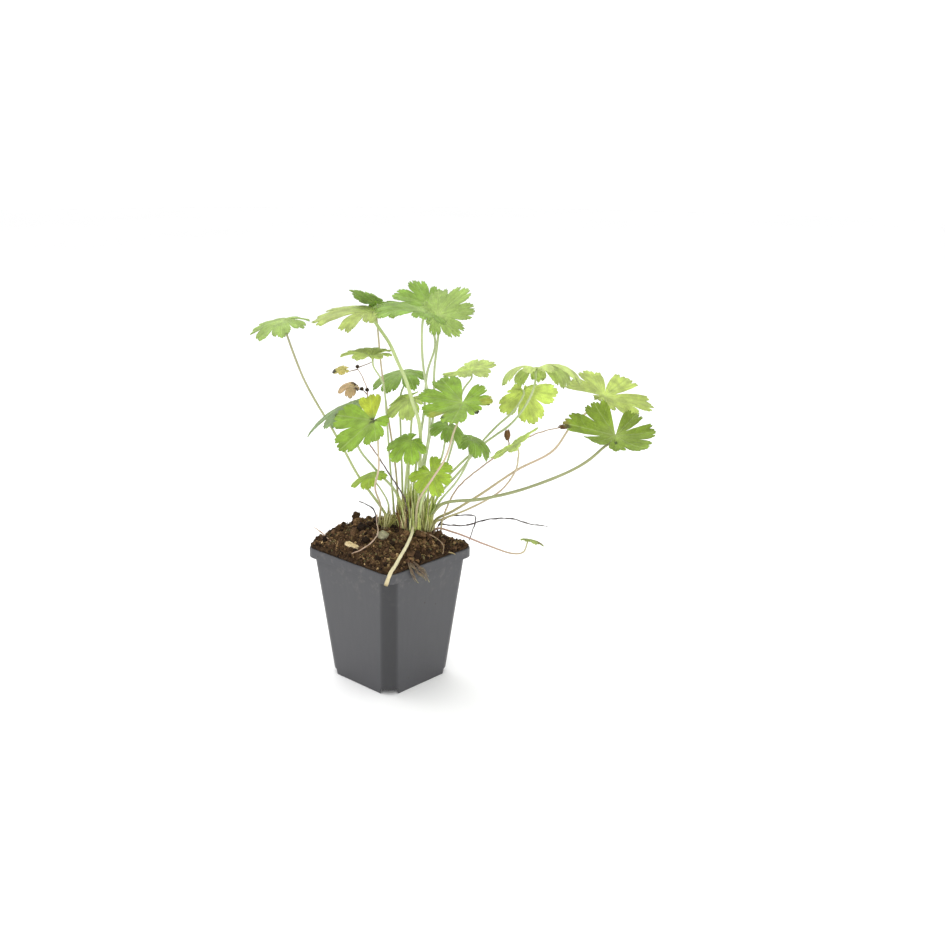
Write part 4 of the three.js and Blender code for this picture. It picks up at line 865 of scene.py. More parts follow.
deadStalks = {
    "thick": 1.1,
    "right": [[(34, 7, 104), (35, 7, 112), (42, 8, 117.5), (52, 8, 119), (61, 6, 119), (61.5, 5, 116),
               (59, 3, 108), (57, 1, 102)],
              [(34, 7, 104), (35, 6, 112), (44, 3, 113), (54, 0, 114), (70, -4, 120), (87, -8, 122),
               (99, -10, 119), (112, -12, 118)]],
    "left": [[(-11, 6, 104), (-10, 6, 114), (-12, 5, 124), (-22, 2, 131)]],
    "stops": [(0, "#6d625e"), (0.5, "#504b4c"), (1, "#6d6866")],
}
runner = {
    "thick": 1.3,
    "path": [(31, -1, 104), (33, -2, 112), (47, -5, 110), (68, -9, 103), (88, -14, 98), (95, -16, 100),
             (98, -17, 109)],
    "stops": [(0, "#a08470"), (0.5, "#a98a7a"), (0.85, "#b3a184"), (1, "#b7bb86")],
    "leaf": {"joint": (98, -17, 109.5), "turn": 10, "tilt": 14, "roll": -14, "reach": 13, "rise": 16,
             "seed": 33, "bends": (50, 60, 55, 50, 60), "lengths": (0.5, 0.7, 1, 0.75, 0.5),
             "tone": "#b9c47e", "patches": [{"at": (1.5, 0.9), "radius": 2.5, "tone": "#8f7a4c"}]},
}


def addDryStem(shape, points, thick, stops, sides=8, wobble=0.12, tip=0.6, finish=0):
    # a shrunken stem: its width and course vary a little all the way
    path = fromPlant(smoothPath(points, 2.0))
    along = lengthAlong(path)
    path = path + 0.12 * np.stack([np.sin(along * 0.9), np.cos(along * 1.3), np.sin(along * 0.7)], axis=-1)
    radii = thick / 2 * (1 + wobble * np.sin(along * 1.7) + wobble * np.sin(along * 0.61 + 1))
    addTube(shape, path, radii * np.interp(along / along[-1], [0, 0.8, 1], [1, 0.9, tip]), stops, sides,
            finish, tintNoise=0.15)


def addBud(shape, at, size, tones, sepals, seed):
    # a dried bud: a wrinkled core wrapped in pointed sepals
    rng = np.random.default_rng(seed)
    addBall(shape, fromPlant(at), size, colour(tones[0]), detail=3, rough=0.2)
    for k in range(sepals):
        angle = k * 2 * math.pi / sepals + rng.uniform(-0.3, 0.3)
        out = heading(angle)
        rise = [(-0.8, 0.4), (-0.2, 1.02), (0.6, 0.95), (1.25, 0.45 + 0.3 * rng.random())]
        points = fromPlant(at) + np.array([out * r * size[0] + [0, 0, h * size[2]] for h, r in rise])
        path = smoothPath(points, 0.6)
        radii = taper(path, [0, 0.5, 1], [0.45, 0.6, 0.12])
        addTube(shape, path, radii, [(0, tones[0]), (1, tones[1])], 6, flatten=0.5)


def makeWithered():
    shape = newShape()
    addDryStem(shape, spray["stem"], spray["thick"], spray["stops"])
    for twig in spray["twigs"]:
        addDryStem(shape, twig, spray["twigThick"], spray["twigStops"])
    for bud in spray["buds"]:
        addBud(shape, **bud)
    makePiece("witheredSpray", shape, [dryMaterial], ["withered_spray"])
    for leaf in witheredLeaves:
        shape = newShape()
        addBlade(shape, leaf)
        makePiece(leaf["name"] + "_blade", shape, [witheredMaterial], [leaf["name"]])


def makeFlowerStem():
    shape = newShape()
    addDryStem(shape, flowerStem["stem"], flowerStem["thick"], flowerStem["stops"], wobble=0.06)
    addDryStem(shape, flowerStem["pedicel"], flowerStem["pedicelThick"], flowerStem["pedicelStops"],
               wobble=0.05, tip=1.2)
    for bud in flowerStem["buds"]:
        addBud(shape, **bud)
    makePiece("oldFlowerStem", shape, [dryMaterial], ["old_flower_stem"])


def makeDeadStalks():
    for side, node in (("right", "dead_stalks_right"), ("left", "dead_stalk_left")):
        shape = newShape()
        for points in deadStalks[side]:
            addDryStem(shape, points, deadStalks["thick"], deadStalks["stops"], wobble=0.2)
        makePiece(side + "DeadStalks", shape, [dryMaterial], [node])


def makeRunner():
    shape = newShape()
    path = fromPlant(smoothPath(runner["path"], 2.0))
    addTube(shape, path, runner["thick"] / 2 * np.linspace(1.1, 0.85, len(path)), runner["stops"], 9,
            tintNoise=0.06)
    addHairs(shape, path, np.full(len(path), runner["thick"] / 2), np.random.default_rng(7), "#d8b8a4")
    addBlade(shape, runner["leaf"], finish=1)
    makePiece("runnerWithLeaf", shape, [stemMaterial, leafMaterials["leaf_pale"]], ["runner"])


makeWithered()
makeFlowerStem()
makeDeadStalks()
makeRunner()
print("old growth made")

# ---- crown and young shoots
crown = {"u": 10, "v": 8, "radius": 7.6, "bottom": 99, "shoulder": 113.5, "top": 118, "scales": 46}
strands = [  # young and old stalk bases that crowd round the knot
    {"at": (19, -1), "low": 106, "spread": 9, "count": 120, "tall": (20, 44), "lean": 6, "wide": (0.5, 1.1),
     "tones": [("#a2aa58", "#c4cf7e"), ("#b5ba78", "#d4da9c"), ("#8c9a46", "#aebe5e"),
               ("#aaa876", "#c8c894")]},
    {"at": (11, -2), "low": 107, "spread": 5.5, "count": 80, "tall": (13, 33), "lean": 2,
     "wide": (0.4, 0.95),
     "tones": [("#7a5f42", "#b99f78"), ("#96805c", "#c9b892"), ("#54402c", "#84683f"),
               ("#6f6a3a", "#a7a262")]},
    {"at": (2, 3), "low": 108, "spread": 5, "count": 36, "tall": (10, 24), "lean": 3, "wide": (0.35, 0.7),
     "tones": [("#8c8a48", "#aaa860"), ("#6a5a38", "#8f8450"), ("#a19c66", "#bdb880")]},
]
footClods = [  # soil heaped at the foot of the front stalks, in the plant's frame
    (12.5, -14.8, 112.6, 2.9), (9, -13.6, 112.4, 2.4), (20.5, -13.6, 112.6, 2.6), (24, -13.4, 111.6, 2.2),
    (6, -11.5, 112.6, 2.0), (28.5, -12.5, 110.6, 2.3), (33.5, -8, 109.6, 2.2), (36, -2, 108.6, 2.0),
    (-25.5, 20, 113.6, 3.0), (-24.5, 19, 110.6, 3.2), (-43, -2, 105.6, 2.6), (-38, 9, 107.4, 2.8),
]
shootFans = [
    {"name": "young_shoots_left", "u": -3, "v": -4, "radius": 3.4, "strands": 22, "height": 13.5,
     "lean": 4.5, "seed": 1, "low": 113, "shift": 2.5, "wide": 0.42, "flat": 0.8, "buds": []},
    {"name": "young_shoots_right", "u": 27, "v": -7, "radius": 3.6, "strands": 20, "height": 19, "lean": 5,
     "seed": 2, "low": 110.5, "shift": 0, "wide": 0.75, "flat": 0.4, "buds": [(4, 16, 6.5)]},
]


def addKnot(shape, spot, low, high, top, tint, sides=28):
    # a woody knot, round and rough, that tapers to its root
    u, v, radius = spot["u"], spot["v"], spot["radius"]
    profile = np.array([(0.8 * radius, low), (radius, low + 4), (radius, (low + high) / 2),
                        (radius * 0.98, high - 1), (radius * 0.85, high + 0.25 * (top - high)),
                        (radius * 0.5, high + 0.75 * (top - high)), (radius * 0.15, top)])
    angles = np.linspace(0, 2 * math.pi, sides, endpoint=False)
    rings = [np.stack([u + r * np.cos(angles), v + r * np.sin(angles), np.full(sides, z)], axis=-1)
             for r, z in profile]
    points = np.vstack([*rings, [(u, v, low)], [(u, v, top)]])
    points = points + 0.5 * roughness3d(points, 1.6)[:, None] * unit(points - [u, v, (low + top) / 2])
    addTo(shape, fromPlant(points), ringFaces(len(profile), sides), tint)


def makeCrown():
    shape = newShape()
    rng = np.random.default_rng(5)
    addKnot(shape, crown, crown["bottom"], crown["shoulder"], crown["top"], colour("#5d432c"))
    tones = ["#8a6746", "#a98a62", "#6e4f36", "#b59c74", "#7f9a4c", "#9c6f5a"]
    for k in range(crown["scales"]):  # old stalk bases and papery stipules all over the knot
        angle = k * goldenAngle
        share = (k + 0.5) / crown["scales"]
        reach = crown["radius"] * math.sqrt(share)
        middle = np.array([crown["u"], crown["v"], crown["shoulder"] + 3 * (1 - share)])
        foot = middle + reach * heading(angle)
        lean = heading(angle) * rng.uniform(0.5, 3.0)
        tall = rng.uniform(3.5, 8) * (1.1 - 0.5 * share)
        points = [foot - [0, 0, 2], foot + lean * 0.2 + [0, 0, tall * 0.4], foot + lean + [0, 0, tall]]
        path = fromPlant(smoothPath(points, 0.8))
        wide = rng.uniform(0.7, 1.35)
        tone = tones[rng.integers(len(tones))]
        addTube(shape, path, wide * taper(path, [0, 0.5, 1], [1, 0.85, 0.15]),
                [(0, tone), (0.8, tone), (1, "#3f2e20")], 7, flatten=rng.uniform(0.35, 0.9), tintNoise=0.25)
    makePiece("crownKnot", shape, [dryMaterial], ["crown"])


def makeStrands():
    shape = newShape()
    rng = np.random.default_rng(6)
    for group in strands:
        for k in range(group["count"]):
            angle = k * goldenAngle
            share = math.sqrt((k + 0.5) / group["count"])
            out = heading(angle)
            foot = np.array([*group["at"], group["low"]]) + out * share * group["spread"]
            tall = rng.uniform(*group["tall"]) * (1.1 - 0.4 * share)
            tip = foot + out * share * group["lean"] + [*rng.normal(0, 1.2, 2), tall]
            middle = foot * 0.45 + tip * 0.55 + rng.normal(0, 0.6, 3)
            path = fromPlant(smoothPath([foot, middle, tip], 1.5))
            dark, pale = group["tones"][rng.integers(len(group["tones"]))]
            wide = rng.uniform(*group["wide"])
            addTube(shape, path, wide * taper(path, [0, 0.5, 1], [1.15, 1, 0.3]),
                    [(0, "#4d3c28"), (0.35, dark), (1, pale)], 7, flatten=rng.uniform(0.5, 1), tintNoise=0.15)
    makePiece("stalkBases", shape, [dryMaterial])


def makeShoots(fan):
    # thin young stalks that fan out of a small knot, some of them flat
    shape = newShape()
    rng = np.random.default_rng(20 + fan["seed"])
    low = fan["low"]
    addKnot(shape, fan, crown["bottom"] + 3, low + 0.5, low + 2, colour("#57482c"), 18)
    tones = [("#8f8a4e", "#aba766"), ("#a8a46c", "#c6c288"), ("#7d7a40", "#a1a052"), ("#bab586", "#b9b86e")]
    for k in range(fan["strands"]):
        angle = k * goldenAngle + 0.4
        share = (k + 0.5) / fan["strands"]
        out = heading(angle)
        root = np.array([fan["u"], fan["v"], low - 1]) + fan["radius"] * 0.75 * math.sqrt(share) * out
        tall = fan["height"] * (1.1 - 0.45 * share) * rng.uniform(0.75, 1.05)
        tip = root + out * fan["lean"] * (0.3 + 0.9 * share) + [fan["shift"], 0, tall]
        middle = (root + tip) / 2 + out * rng.uniform(-1.2, 0.8) + rng.normal(0, 0.4, 3)
        path = fromPlant(smoothPath([root - [0, 0, 3], root, middle, tip], 1.2))
        wide = fan["wide"] * rng.uniform(0.7, 1.3)
        foot, end = tones[rng.integers(len(tones))]
        addTube(shape, path, wide * taper(path, [0, 0.4, 0.9, 1], [1.2, 1, 0.8, 0.3]),
                [(0, "#6d5f3a"), (0.3, foot), (1, end)], 7, flatten=fan["flat"], tintNoise=0.1)
    for k, (side, tall, reach) in enumerate(fan["buds"]):  # leaves that are still folded
        bud = {"joint": (fan["u"] + side, fan["v"], low + tall), "turn": -20 + 140 * k, "tilt": -58,
               "roll": 20, "reach": reach, "rise": 0, "bends": (-50, -40, -30, -40, -50),
               "lengths": (0.8, 0.95, 1, 0.95, 0.8), "tone": "#a8b95c", "seed": 60 + k}
        addBlade(shape, bud, finish=1)
    makePiece(fan["name"] + "_fan", shape, [stemMaterial, leafMaterials["leaf_green"]],
              [fan["name"]])


makeCrown()
makeStrands()
for fan in shootFans:
    makeShoots(fan)
print("crown and shoots made")

# ---- soil
potSize = {
    "height": 97.5, "rimHeight": 7, "rimWidth": 86, "topWidth": 82, "footWidth": 63.5, "wall": 1.6,
    # how far along each side a corner starts, and its bow
    "rimCorner": (7.7, 0.293), "wallCorner": (8.9, 0.2),
    "notchHeight": 4, "notchWidth": 12.5, "notchStart": 31, "drainRadius": 2.2, "drainOut": 35.4,
    # the raised corner along the diagonal: its outer face, half that face's width, and where its
    # slanted sides would meet
    "raisedFace": 37.8, "raisedHalf": 6.4, "raisedMeet": 44.2,
}
soil = {
    "lip": 97.8, "edge": 99.6, "dome": 12.5, "halfWidth": 42.3, "cut": 7.2, "bow": 0.293, "rings": 62,
    "gap": 0.35,  # from the root ball to the pot's inner wall
    "crumbs": 3400, "clods": 300, "lumps": 60, "rimClods": 320, "fibres": 760, "flecks": 330,
}
rootBall = [(1.95, 25), (5.9, 25), (6.2, 8.6), (50, 8.6), (90.5, 8.6), (97.7, 8.6)]  # height, corner cut
# place in the plant's frame, height and width
mounds = [((-27, 20), 3.5, 14), ((-40, 0), 3, 12), ((40, 10), -3.2, 16)]


def wallHalf(z):
    underRim = potSize["height"] - potSize["rimHeight"]
    return np.interp(z, [0, underRim], [potSize["footWidth"] / 2, potSize["topWidth"] / 2])


def soilHeight(x, y):
    rough = 0.9 * np.sin(0.53 * x + 1.3) * np.cos(0.47 * y) + 0.6 * np.sin(1.13 * x - 0.9 * y)
    lumps = 0
    for (u, v), height, width in mounds:
        at = fromPlant((u, v, 0))
        lumps = lumps + height * np.exp(-((x - at[0]) ** 2 + (y - at[1]) ** 2) / width ** 2)
    slopes = [1 - np.abs(value / soil["halfWidth"]) ** 2.5 for value in (x, y)]
    return np.maximum(soil["edge"] + soil["dome"] * slopes[0] * slopes[1] + lumps + rough, soil["lip"] + 0.8)


def squareLoop(half, cut, bow, z, cornerSteps=8, sides=np.linspace(0, 1, 49)[1:-1]):
    # a square with bowed corners, counter-clockwise: cut is where a corner starts, and sides are the
    # points between two corners
    share = np.linspace(0, 1, cornerSteps + 1)
    out = cut * bow * (1 - (2 * share - 1) ** 2) * math.sqrt(0.5)
    corner = np.stack([half - cut * share + out, half - cut * (1 - share) + out], axis=-1)
    side = np.stack([(half - cut) * (1 - 2 * sides), np.full(len(sides), half)], axis=-1)
    quarters = [np.vstack([corner, side])]
    for _ in range(3):
        quarters.append(quarters[-1] @ np.array([[0, 1], [-1, 0]]))
    flat = np.vstack(quarters)
    return np.column_stack([flat, np.full(len(flat), z)])


def soilPoints(x, y):
    # the crumbly surface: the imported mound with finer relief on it
    z = soilHeight(x, y)
    points = np.stack([x, y, z], axis=-1)
    fine = 0.75 * roughness3d(points, 4.5, 4) + 0.45 * np.abs(roughness3d(points, 1.6, 3))
    fade = np.clip((soil["halfWidth"] + 0.4 - np.maximum(np.abs(x), np.abs(y))) / 3, 0.25, 1)
    points[:, 2] = np.maximum(z + fine * fade, soil["lip"] + 0.5)
    # the crumbs make room for the cut stem
    path = fromPlant(smoothPath(brokenStem["path"], 1.0))
    away = np.linalg.norm(points[:, None, :2] - path[None, :, :2], axis=-1)
    room = path[away.argmin(axis=1), 2] - 0.3 * brokenStem["thick"]
    under = (away.min(axis=1) < 0.75 * brokenStem["thick"]) & (points[:, 2] > soil["lip"] + 0.5)
    points[under, 2] = np.clip(points[under, 2], None, np.maximum(room[under], soil["lip"] + 0.5))
    return points


soilTones = [colour(tone) for tone in
             ("#43311f", "#5a4430", "#2b1f16", "#70573c", "#4c3828", "#8a6d4c", "#625c3e", "#a08660")]


def makeSoil():
    shape = newShape()
    outline = squareLoop(soil["halfWidth"], soil["cut"], soil["bow"], 0)
    count = len(outline)
    loops = [squareLoop(wallHalf(z) - potSize["wall"] - soil["gap"], cut, 0.05, z) for z, cut in rootBall]
    loops.append(np.column_stack([outline[:, :2], np.full(count, soil["lip"])]))
    for ring in range(soil["rings"]):
        share = 1 - ring / soil["rings"]
        loops.append(soilPoints(outline[:, 0] * share, outline[:, 1] * share))
    points = np.vstack([*loops, [(0, 0, rootBall[0][0])], soilPoints(np.zeros(1), np.zeros(1))])
    tone = roughness3d(points, 3.5, 3)
    tints = blend(soilTones[0], soilTones[3], smoothStep(-0.2, 0.7, tone))
    fromEdge = np.abs(points[:, :2]).max(axis=1) - soil["halfWidth"]
    tints[:, :3] *= np.interp(fromEdge, [-4, -1], [1, 0.45])[:, None]  # darker towards the rim
    addTo(shape, points, ringFaces(len(loops), count, (True, False, True)), tints)
    makePiece("pottingSoil", shape, [soilMaterial], ["soil"])


def spotsOnSoil(rng, count, inset):
    reach = soil["halfWidth"] - inset
    flat = rng.uniform(-reach, reach, (count * 2, 2))
    corner = np.abs(flat).sum(axis=1) < 2 * reach - soil["cut"]
    return clearSpots(flat[corner][:count])


def clearSpots(flat):
    # places on the surface, without those that would hide the cut stem, the pebble or the wood chip
    path = fromPlant(smoothPath(brokenStem["path"], 1.0))
    things = [(point[:2], 2.6) for point in path]
    for node, room in (("pebble", 4.5), ("wood_chip", 4.0)):
        middle, _ = packedBox(node)
        things.append((middle[:2], room))
    clear = np.all([np.linalg.norm(flat - at, axis=1) > room for at, room in things], axis=0)
    flat = flat[clear]
    return soilPoints(flat[:, 0], flat[:, 1])


def makeCrumbs():
    rng = np.random.default_rng(3)
    shape = newShape()
    coarse, faces = balls[1]
    for spot in spotsOnSoil(rng, soil["crumbs"], 0.6):
        size = 0.35 + 1.0 * rng.random() ** 2.5
        jitter = coarse * (1 + 0.3 * rng.uniform(-1, 1, (len(coarse), 1))) * size * rng.uniform(0.6, 1.25, 3)
        tone = soilTones[rng.integers(len(soilTones))] * rng.uniform(0.7, 1.25)
        addTo(shape, jitter @ turnMatrix(rng).T + spot + [0, 0, 0.25 * size], [(faces, False)], tone)
    for spot in spotsOnSoil(rng, soil["clods"], 2.0):
        size = 1.1 + 1.5 * rng.random() ** 2
        tone = soilTones[rng.integers(5)] * rng.uniform(0.8, 1.2)
        addBall(shape, spot + [0, 0, 0.2 * size], size * rng.uniform(0.7, 1.2, 3), tone, 2, 0.35,
                turnMatrix(rng))
    for spot in spotsOnSoil(rng, soil["lumps"], 3.5):
        size = 2.0 + 1.4 * rng.random()
        tone = soilTones[rng.integers(3)] * rng.uniform(0.6, 1.1)
        addBall(shape, spot, size * rng.uniform(0.7, 1.1, 3), tone, 3, 0.4, turnMatrix(rng))
    for _ in range(soil["rimClods"]):  # dark clods that lie right out on the rim
        along = rng.uniform(-1, 1) * (soil["halfWidth"] - soil["cut"])
        out = soil["halfWidth"] - rng.uniform(-0.2, 2.4)
        quarters = np.linalg.matrix_power(np.array([[0, 1], [-1, 0]]), int(rng.integers(4)))
        flat = np.array([[along, out]]) @ quarters
        for spot in clearSpots(flat):
            size = rng.uniform(0.5, 1.4)
            tone = soilTones[2 * rng.integers(3)] * rng.uniform(0.45, 0.95)
            addBall(shape, spot + [0, 0, 0.2], size * rng.uniform(0.6, 1.0, 3), tone, 2, 0.4, turnMatrix(rng))
    for u, v, w, size in footClods:
        tone = soilTones[rng.integers(4)] * rng.uniform(0.7, 1.1)
        addBall(shape, fromPlant(np.array([[u, v, w]]))[0], size * rng.uniform(0.8, 1.1, 3), tone, 3, 0.4,
                turnMatrix(rng))
    makePiece("soilCrumbs", shape, [soilMaterial])


def makeFibres():
    rng = np.random.default_rng(4)
    shape = newShape()
    tones = ["#2c2017", "#5a4430", "#7a6242", "#3c2c1e", "#8f7a50", "#4a3624"]
    for spot in spotsOnSoil(rng, soil["fibres"], 1.5):
        heading = rng.uniform(0, 2 * math.pi)
        length = rng.uniform(2.5, 9)
        steps = np.linspace(-0.5, 0.5, 6)
        bend = rng.uniform(-0.9, 0.9)
        angles = heading + bend * steps
        flat = np.cumsum(np.stack([np.cos(angles), np.sin(angles)], axis=-1) * length / 6, axis=0)
        flat = spot[:2] + flat - flat.mean(axis=0)
        flat = np.clip(flat, 0.8 - soil["halfWidth"], soil["halfWidth"] - 0.8)
        z = soilHeight(flat[:, 0], flat[:, 1]) + 0.5 + rng.uniform(0, 1.2) * (1 - (2 * steps) ** 2)
        lift = rng.uniform(0, 2.4) if rng.random() < 0.3 else 0
        path = np.column_stack([flat, z + lift * np.clip(steps * 2, 0, 1)])
        tone = tones[rng.integers(len(tones))]
        addTube(shape, path, rng.uniform(0.12, 0.3) * np.linspace(1, 0.5, 6), [(0, tone), (1, tone)], 4)
    chips, faces = balls[1]
    for spot in spotsOnSoil(rng, soil["flecks"], 1.5):
        size = rng.uniform(0.5, 1.5)
        tone = colour(("#8f7a4e", "#6f6a3e", "#a08a62", "#7a5c3c")[rng.integers(4)]) * rng.uniform(0.7, 1.1)
        flake = chips * size * np.array([1, rng.uniform(0.3, 0.6), 0.2])
        addTo(shape, flake @ turnMatrix(rng).T + spot + [0, 0, 0.3], [(faces, False)], tone)
    makePiece("soilFibres", shape, [dryMaterial])


# ---- what lies on the soil and over the rim
brokenStem = {"thick": 2.6,
              "path": [(17, -8, 117), (16.2, -17, 113.5), (12.4, -32, 108.6), (8.6, -42.5, 105),
                       (5.6, -51, 101.8), (3.1, -58.9, 100.5), (1.2, -62.3, 96.4), (-0.2, -63.3, 92.4)],
              "stops": [(0, "#c9c59a"), (0.3, "#dad2ae"), (0.8, "#d3c9a2"), (0.97, "#c4b68e"),
                        (1, "#8a7a54")]}
rootFringe = [
    [(36, -18, 103), (41, -20, 101.5), (44.4, -20, 99), (44.4, -15, 93), (43.8, -9, 88)],
    [(36, -18, 103), (41, -19, 101.5), (44.5, -16, 98.5), (44.5, -9.5, 91), (43, -3.5, 83)],
    [(36, -18, 103), (41, -21.5, 101.5), (44.4, -23, 98), (44.4, -20, 92), (43.4, -15.5, 86)],
]
rootlets = 11  # finer ones that follow each main root
# how far out the roots are kept at each height, so that they clear the wall and the rim
rootLimit = [(80, 40.6), (90.4, 41.4), (90.6, 43.4), (97.5, 43.4), (98.5, 36)]
woodChip = {"half": (6.5, 2.2, 1.2), "turn": 42, "lean": 0.12, "squareness": 0.35, "fray": 0.3}
litter = [  # twigs, rootlets and straws, in the plant's frame
    {"name": "pinkTwig", "thick": 0.9, "stops": [(0, "#9c7f6a"), (1, "#b39a80")],
     "path": [(-41, -10, 104), (-46, -6, 107.5), (-51, -3, 110.5), (-54, -1, 112)]},
    {"name": "paleRoot", "thick": 0.9, "stops": [(0, "#b09a84"), (0.5, "#c4ab98"), (1, "#b79c86")],
     "path": [(-9, -4, 123), (-9, -5, 117), (-8, -10, 114.8), (-7.5, -17, 115.6), (-8, -22, 113.6),
              (-10.5, -27, 111.4), (-14, -31, 109.4), (-19, -34, 107), (-25, -36, 105)]},
    {"name": "redRoot", "thick": 0.8, "stops": [(0, "#a38d74"), (1, "#8f7a62")],
     "path": [(21, -12, 114), (28, -14, 112), (35, -18, 109.4), (38.5, -24, 106.6), (38, -31, 103.6)]},
    {"name": "straw", "thick": 0.7, "stops": [(0, "#b3a276"), (1, "#a08e66")],
     "path": [(42, -22, 101.6), (45, -23, 101.2), (47, -24, 100.6)]},
]


def makeBrokenStem():
    shape = newShape()
    path = fromPlant(smoothPath(brokenStem["path"], 1.5))
    share = np.linspace(0, 1, len(path))
    radii = brokenStem["thick"] / 2 * (np.interp(share, [0, 0.9, 1], [0.8, 1, 1.08])
                                       + 0.05 * np.sin(60 * share))
    addTube(shape, path, radii, brokenStem["stops"], 12, tintNoise=0.14)
    makePiece("brokenStem", shape, [stemMaterial], ["broken_stem"])


def makeRoots():
    shape = newShape()
    rng = np.random.default_rng(8)
    stops = [(0, "#43362b"), (0.5, "#6b5c4c"), (0.85, "#80705c"), (1, "#8c8a6a")]
    for points in rootFringe:
        path = smoothPath(points, 1.5)
        addTube(shape, path, 0.45 * np.linspace(1.1, 0.7, len(path)), stops, 7, tintNoise=0.35)
        for _ in range(rootlets):
            drift = rng.uniform(-2.2, 2.2)
            count = rng.integers(len(path) // 2, len(path))
            away = [rng.uniform(-0.1, 0.7), drift, rng.uniform(-2, 2)]
            side = path[:count] + np.linspace(0, 1, count)[:, None] * away
            wave = np.arange(count)[:, None] * rng.uniform(0.4, 0.9) + rng.uniform(0, 6, 3)
            side = side + 0.35 * np.sin(wave)
            side[:, 0] = np.maximum(side[:, 0], np.interp(side[:, 2], *zip(*rootLimit)))
            addTube(shape, side, rng.uniform(0.18, 0.4) * np.linspace(1, 0.5, count), stops, 5,
                    tintNoise=0.25)
    makePiece("rootFringe", shape, [dryMaterial], ["root_fringe"])


def makeLitter():
    for item in litter:
        shape = newShape()
        addDryStem(shape, item["path"], item["thick"], item["stops"], wobble=0.15)
        makePiece(item["name"], shape, [dryMaterial])


def makePebble():
    middle, half = packedBox("pebble")
    shape = newShape()
    addBall(shape, middle, half, colour("#8e8a70"), 4, 0.14)
    makePiece("pebble", shape, [stoneMaterial], ["pebble"])


def makeWoodChip():
    centre, _ = packedBox("wood_chip")
    turn = np.array(Matrix.Rotation(plantTurn - math.radians(woodChip["turn"]), 3, "Z")
                    @ Matrix.Rotation(woodChip["lean"], 3, "Y"))
    points, faces = balls[4]
    # a split sliver: a flattened block with frayed ends
    block = np.sign(points) * np.abs(points) ** woodChip["squareness"]
    block = block / np.abs(block).max(axis=0) * woodChip["half"]
    nearEnd = smoothStep(0.6, 1.0, np.abs(block[:, 0]) / woodChip["half"][0])
    ends = 1 - woodChip["fray"] * nearEnd * np.abs(np.sin(3.1 * block[:, 1]))
    block = block * np.column_stack([ends, np.ones(len(block)), np.ones(len(block))])
    block[:, 2] += 0.18 * np.sin(5.0 * block[:, 1]) + 0.12 * roughness3d(block * [0.2, 1, 1], 0.8)
    streaks = roughness3d(block * [0.12, 1.4, 1.4], 0.8)
    shape = newShape()
    addTo(shape, block @ turn.T + centre, [(faces, True)], blend(colour("#d8c69c"), colour("#a08558"),
                                                                 smoothStep(-0.2, 0.8, streaks)))
    makePiece("woodChip", shape, [dryMaterial], ["wood_chip"])


makeSoil()
makeCrumbs()
makeFibres()
print("soil made")
makeBrokenStem()
makeRoots()
makeLitter()
makePebble()
makeWoodChip()
print("litter on the soil made")

# ---- pot
potFinish = {
    # painted shade: the second value darkens the corner columns
    "base": "#404043", "paintedColumnShade": 0.52, "dust": "#8b8680", "dirt": "#2e2721", "roughness": 0.42,
    # along each side: close to the corners, then wide apart
    "sidePoints": np.array([0.008, 0.016, 0.25, 0.5, 0.75, 0.984, 0.992]),
}


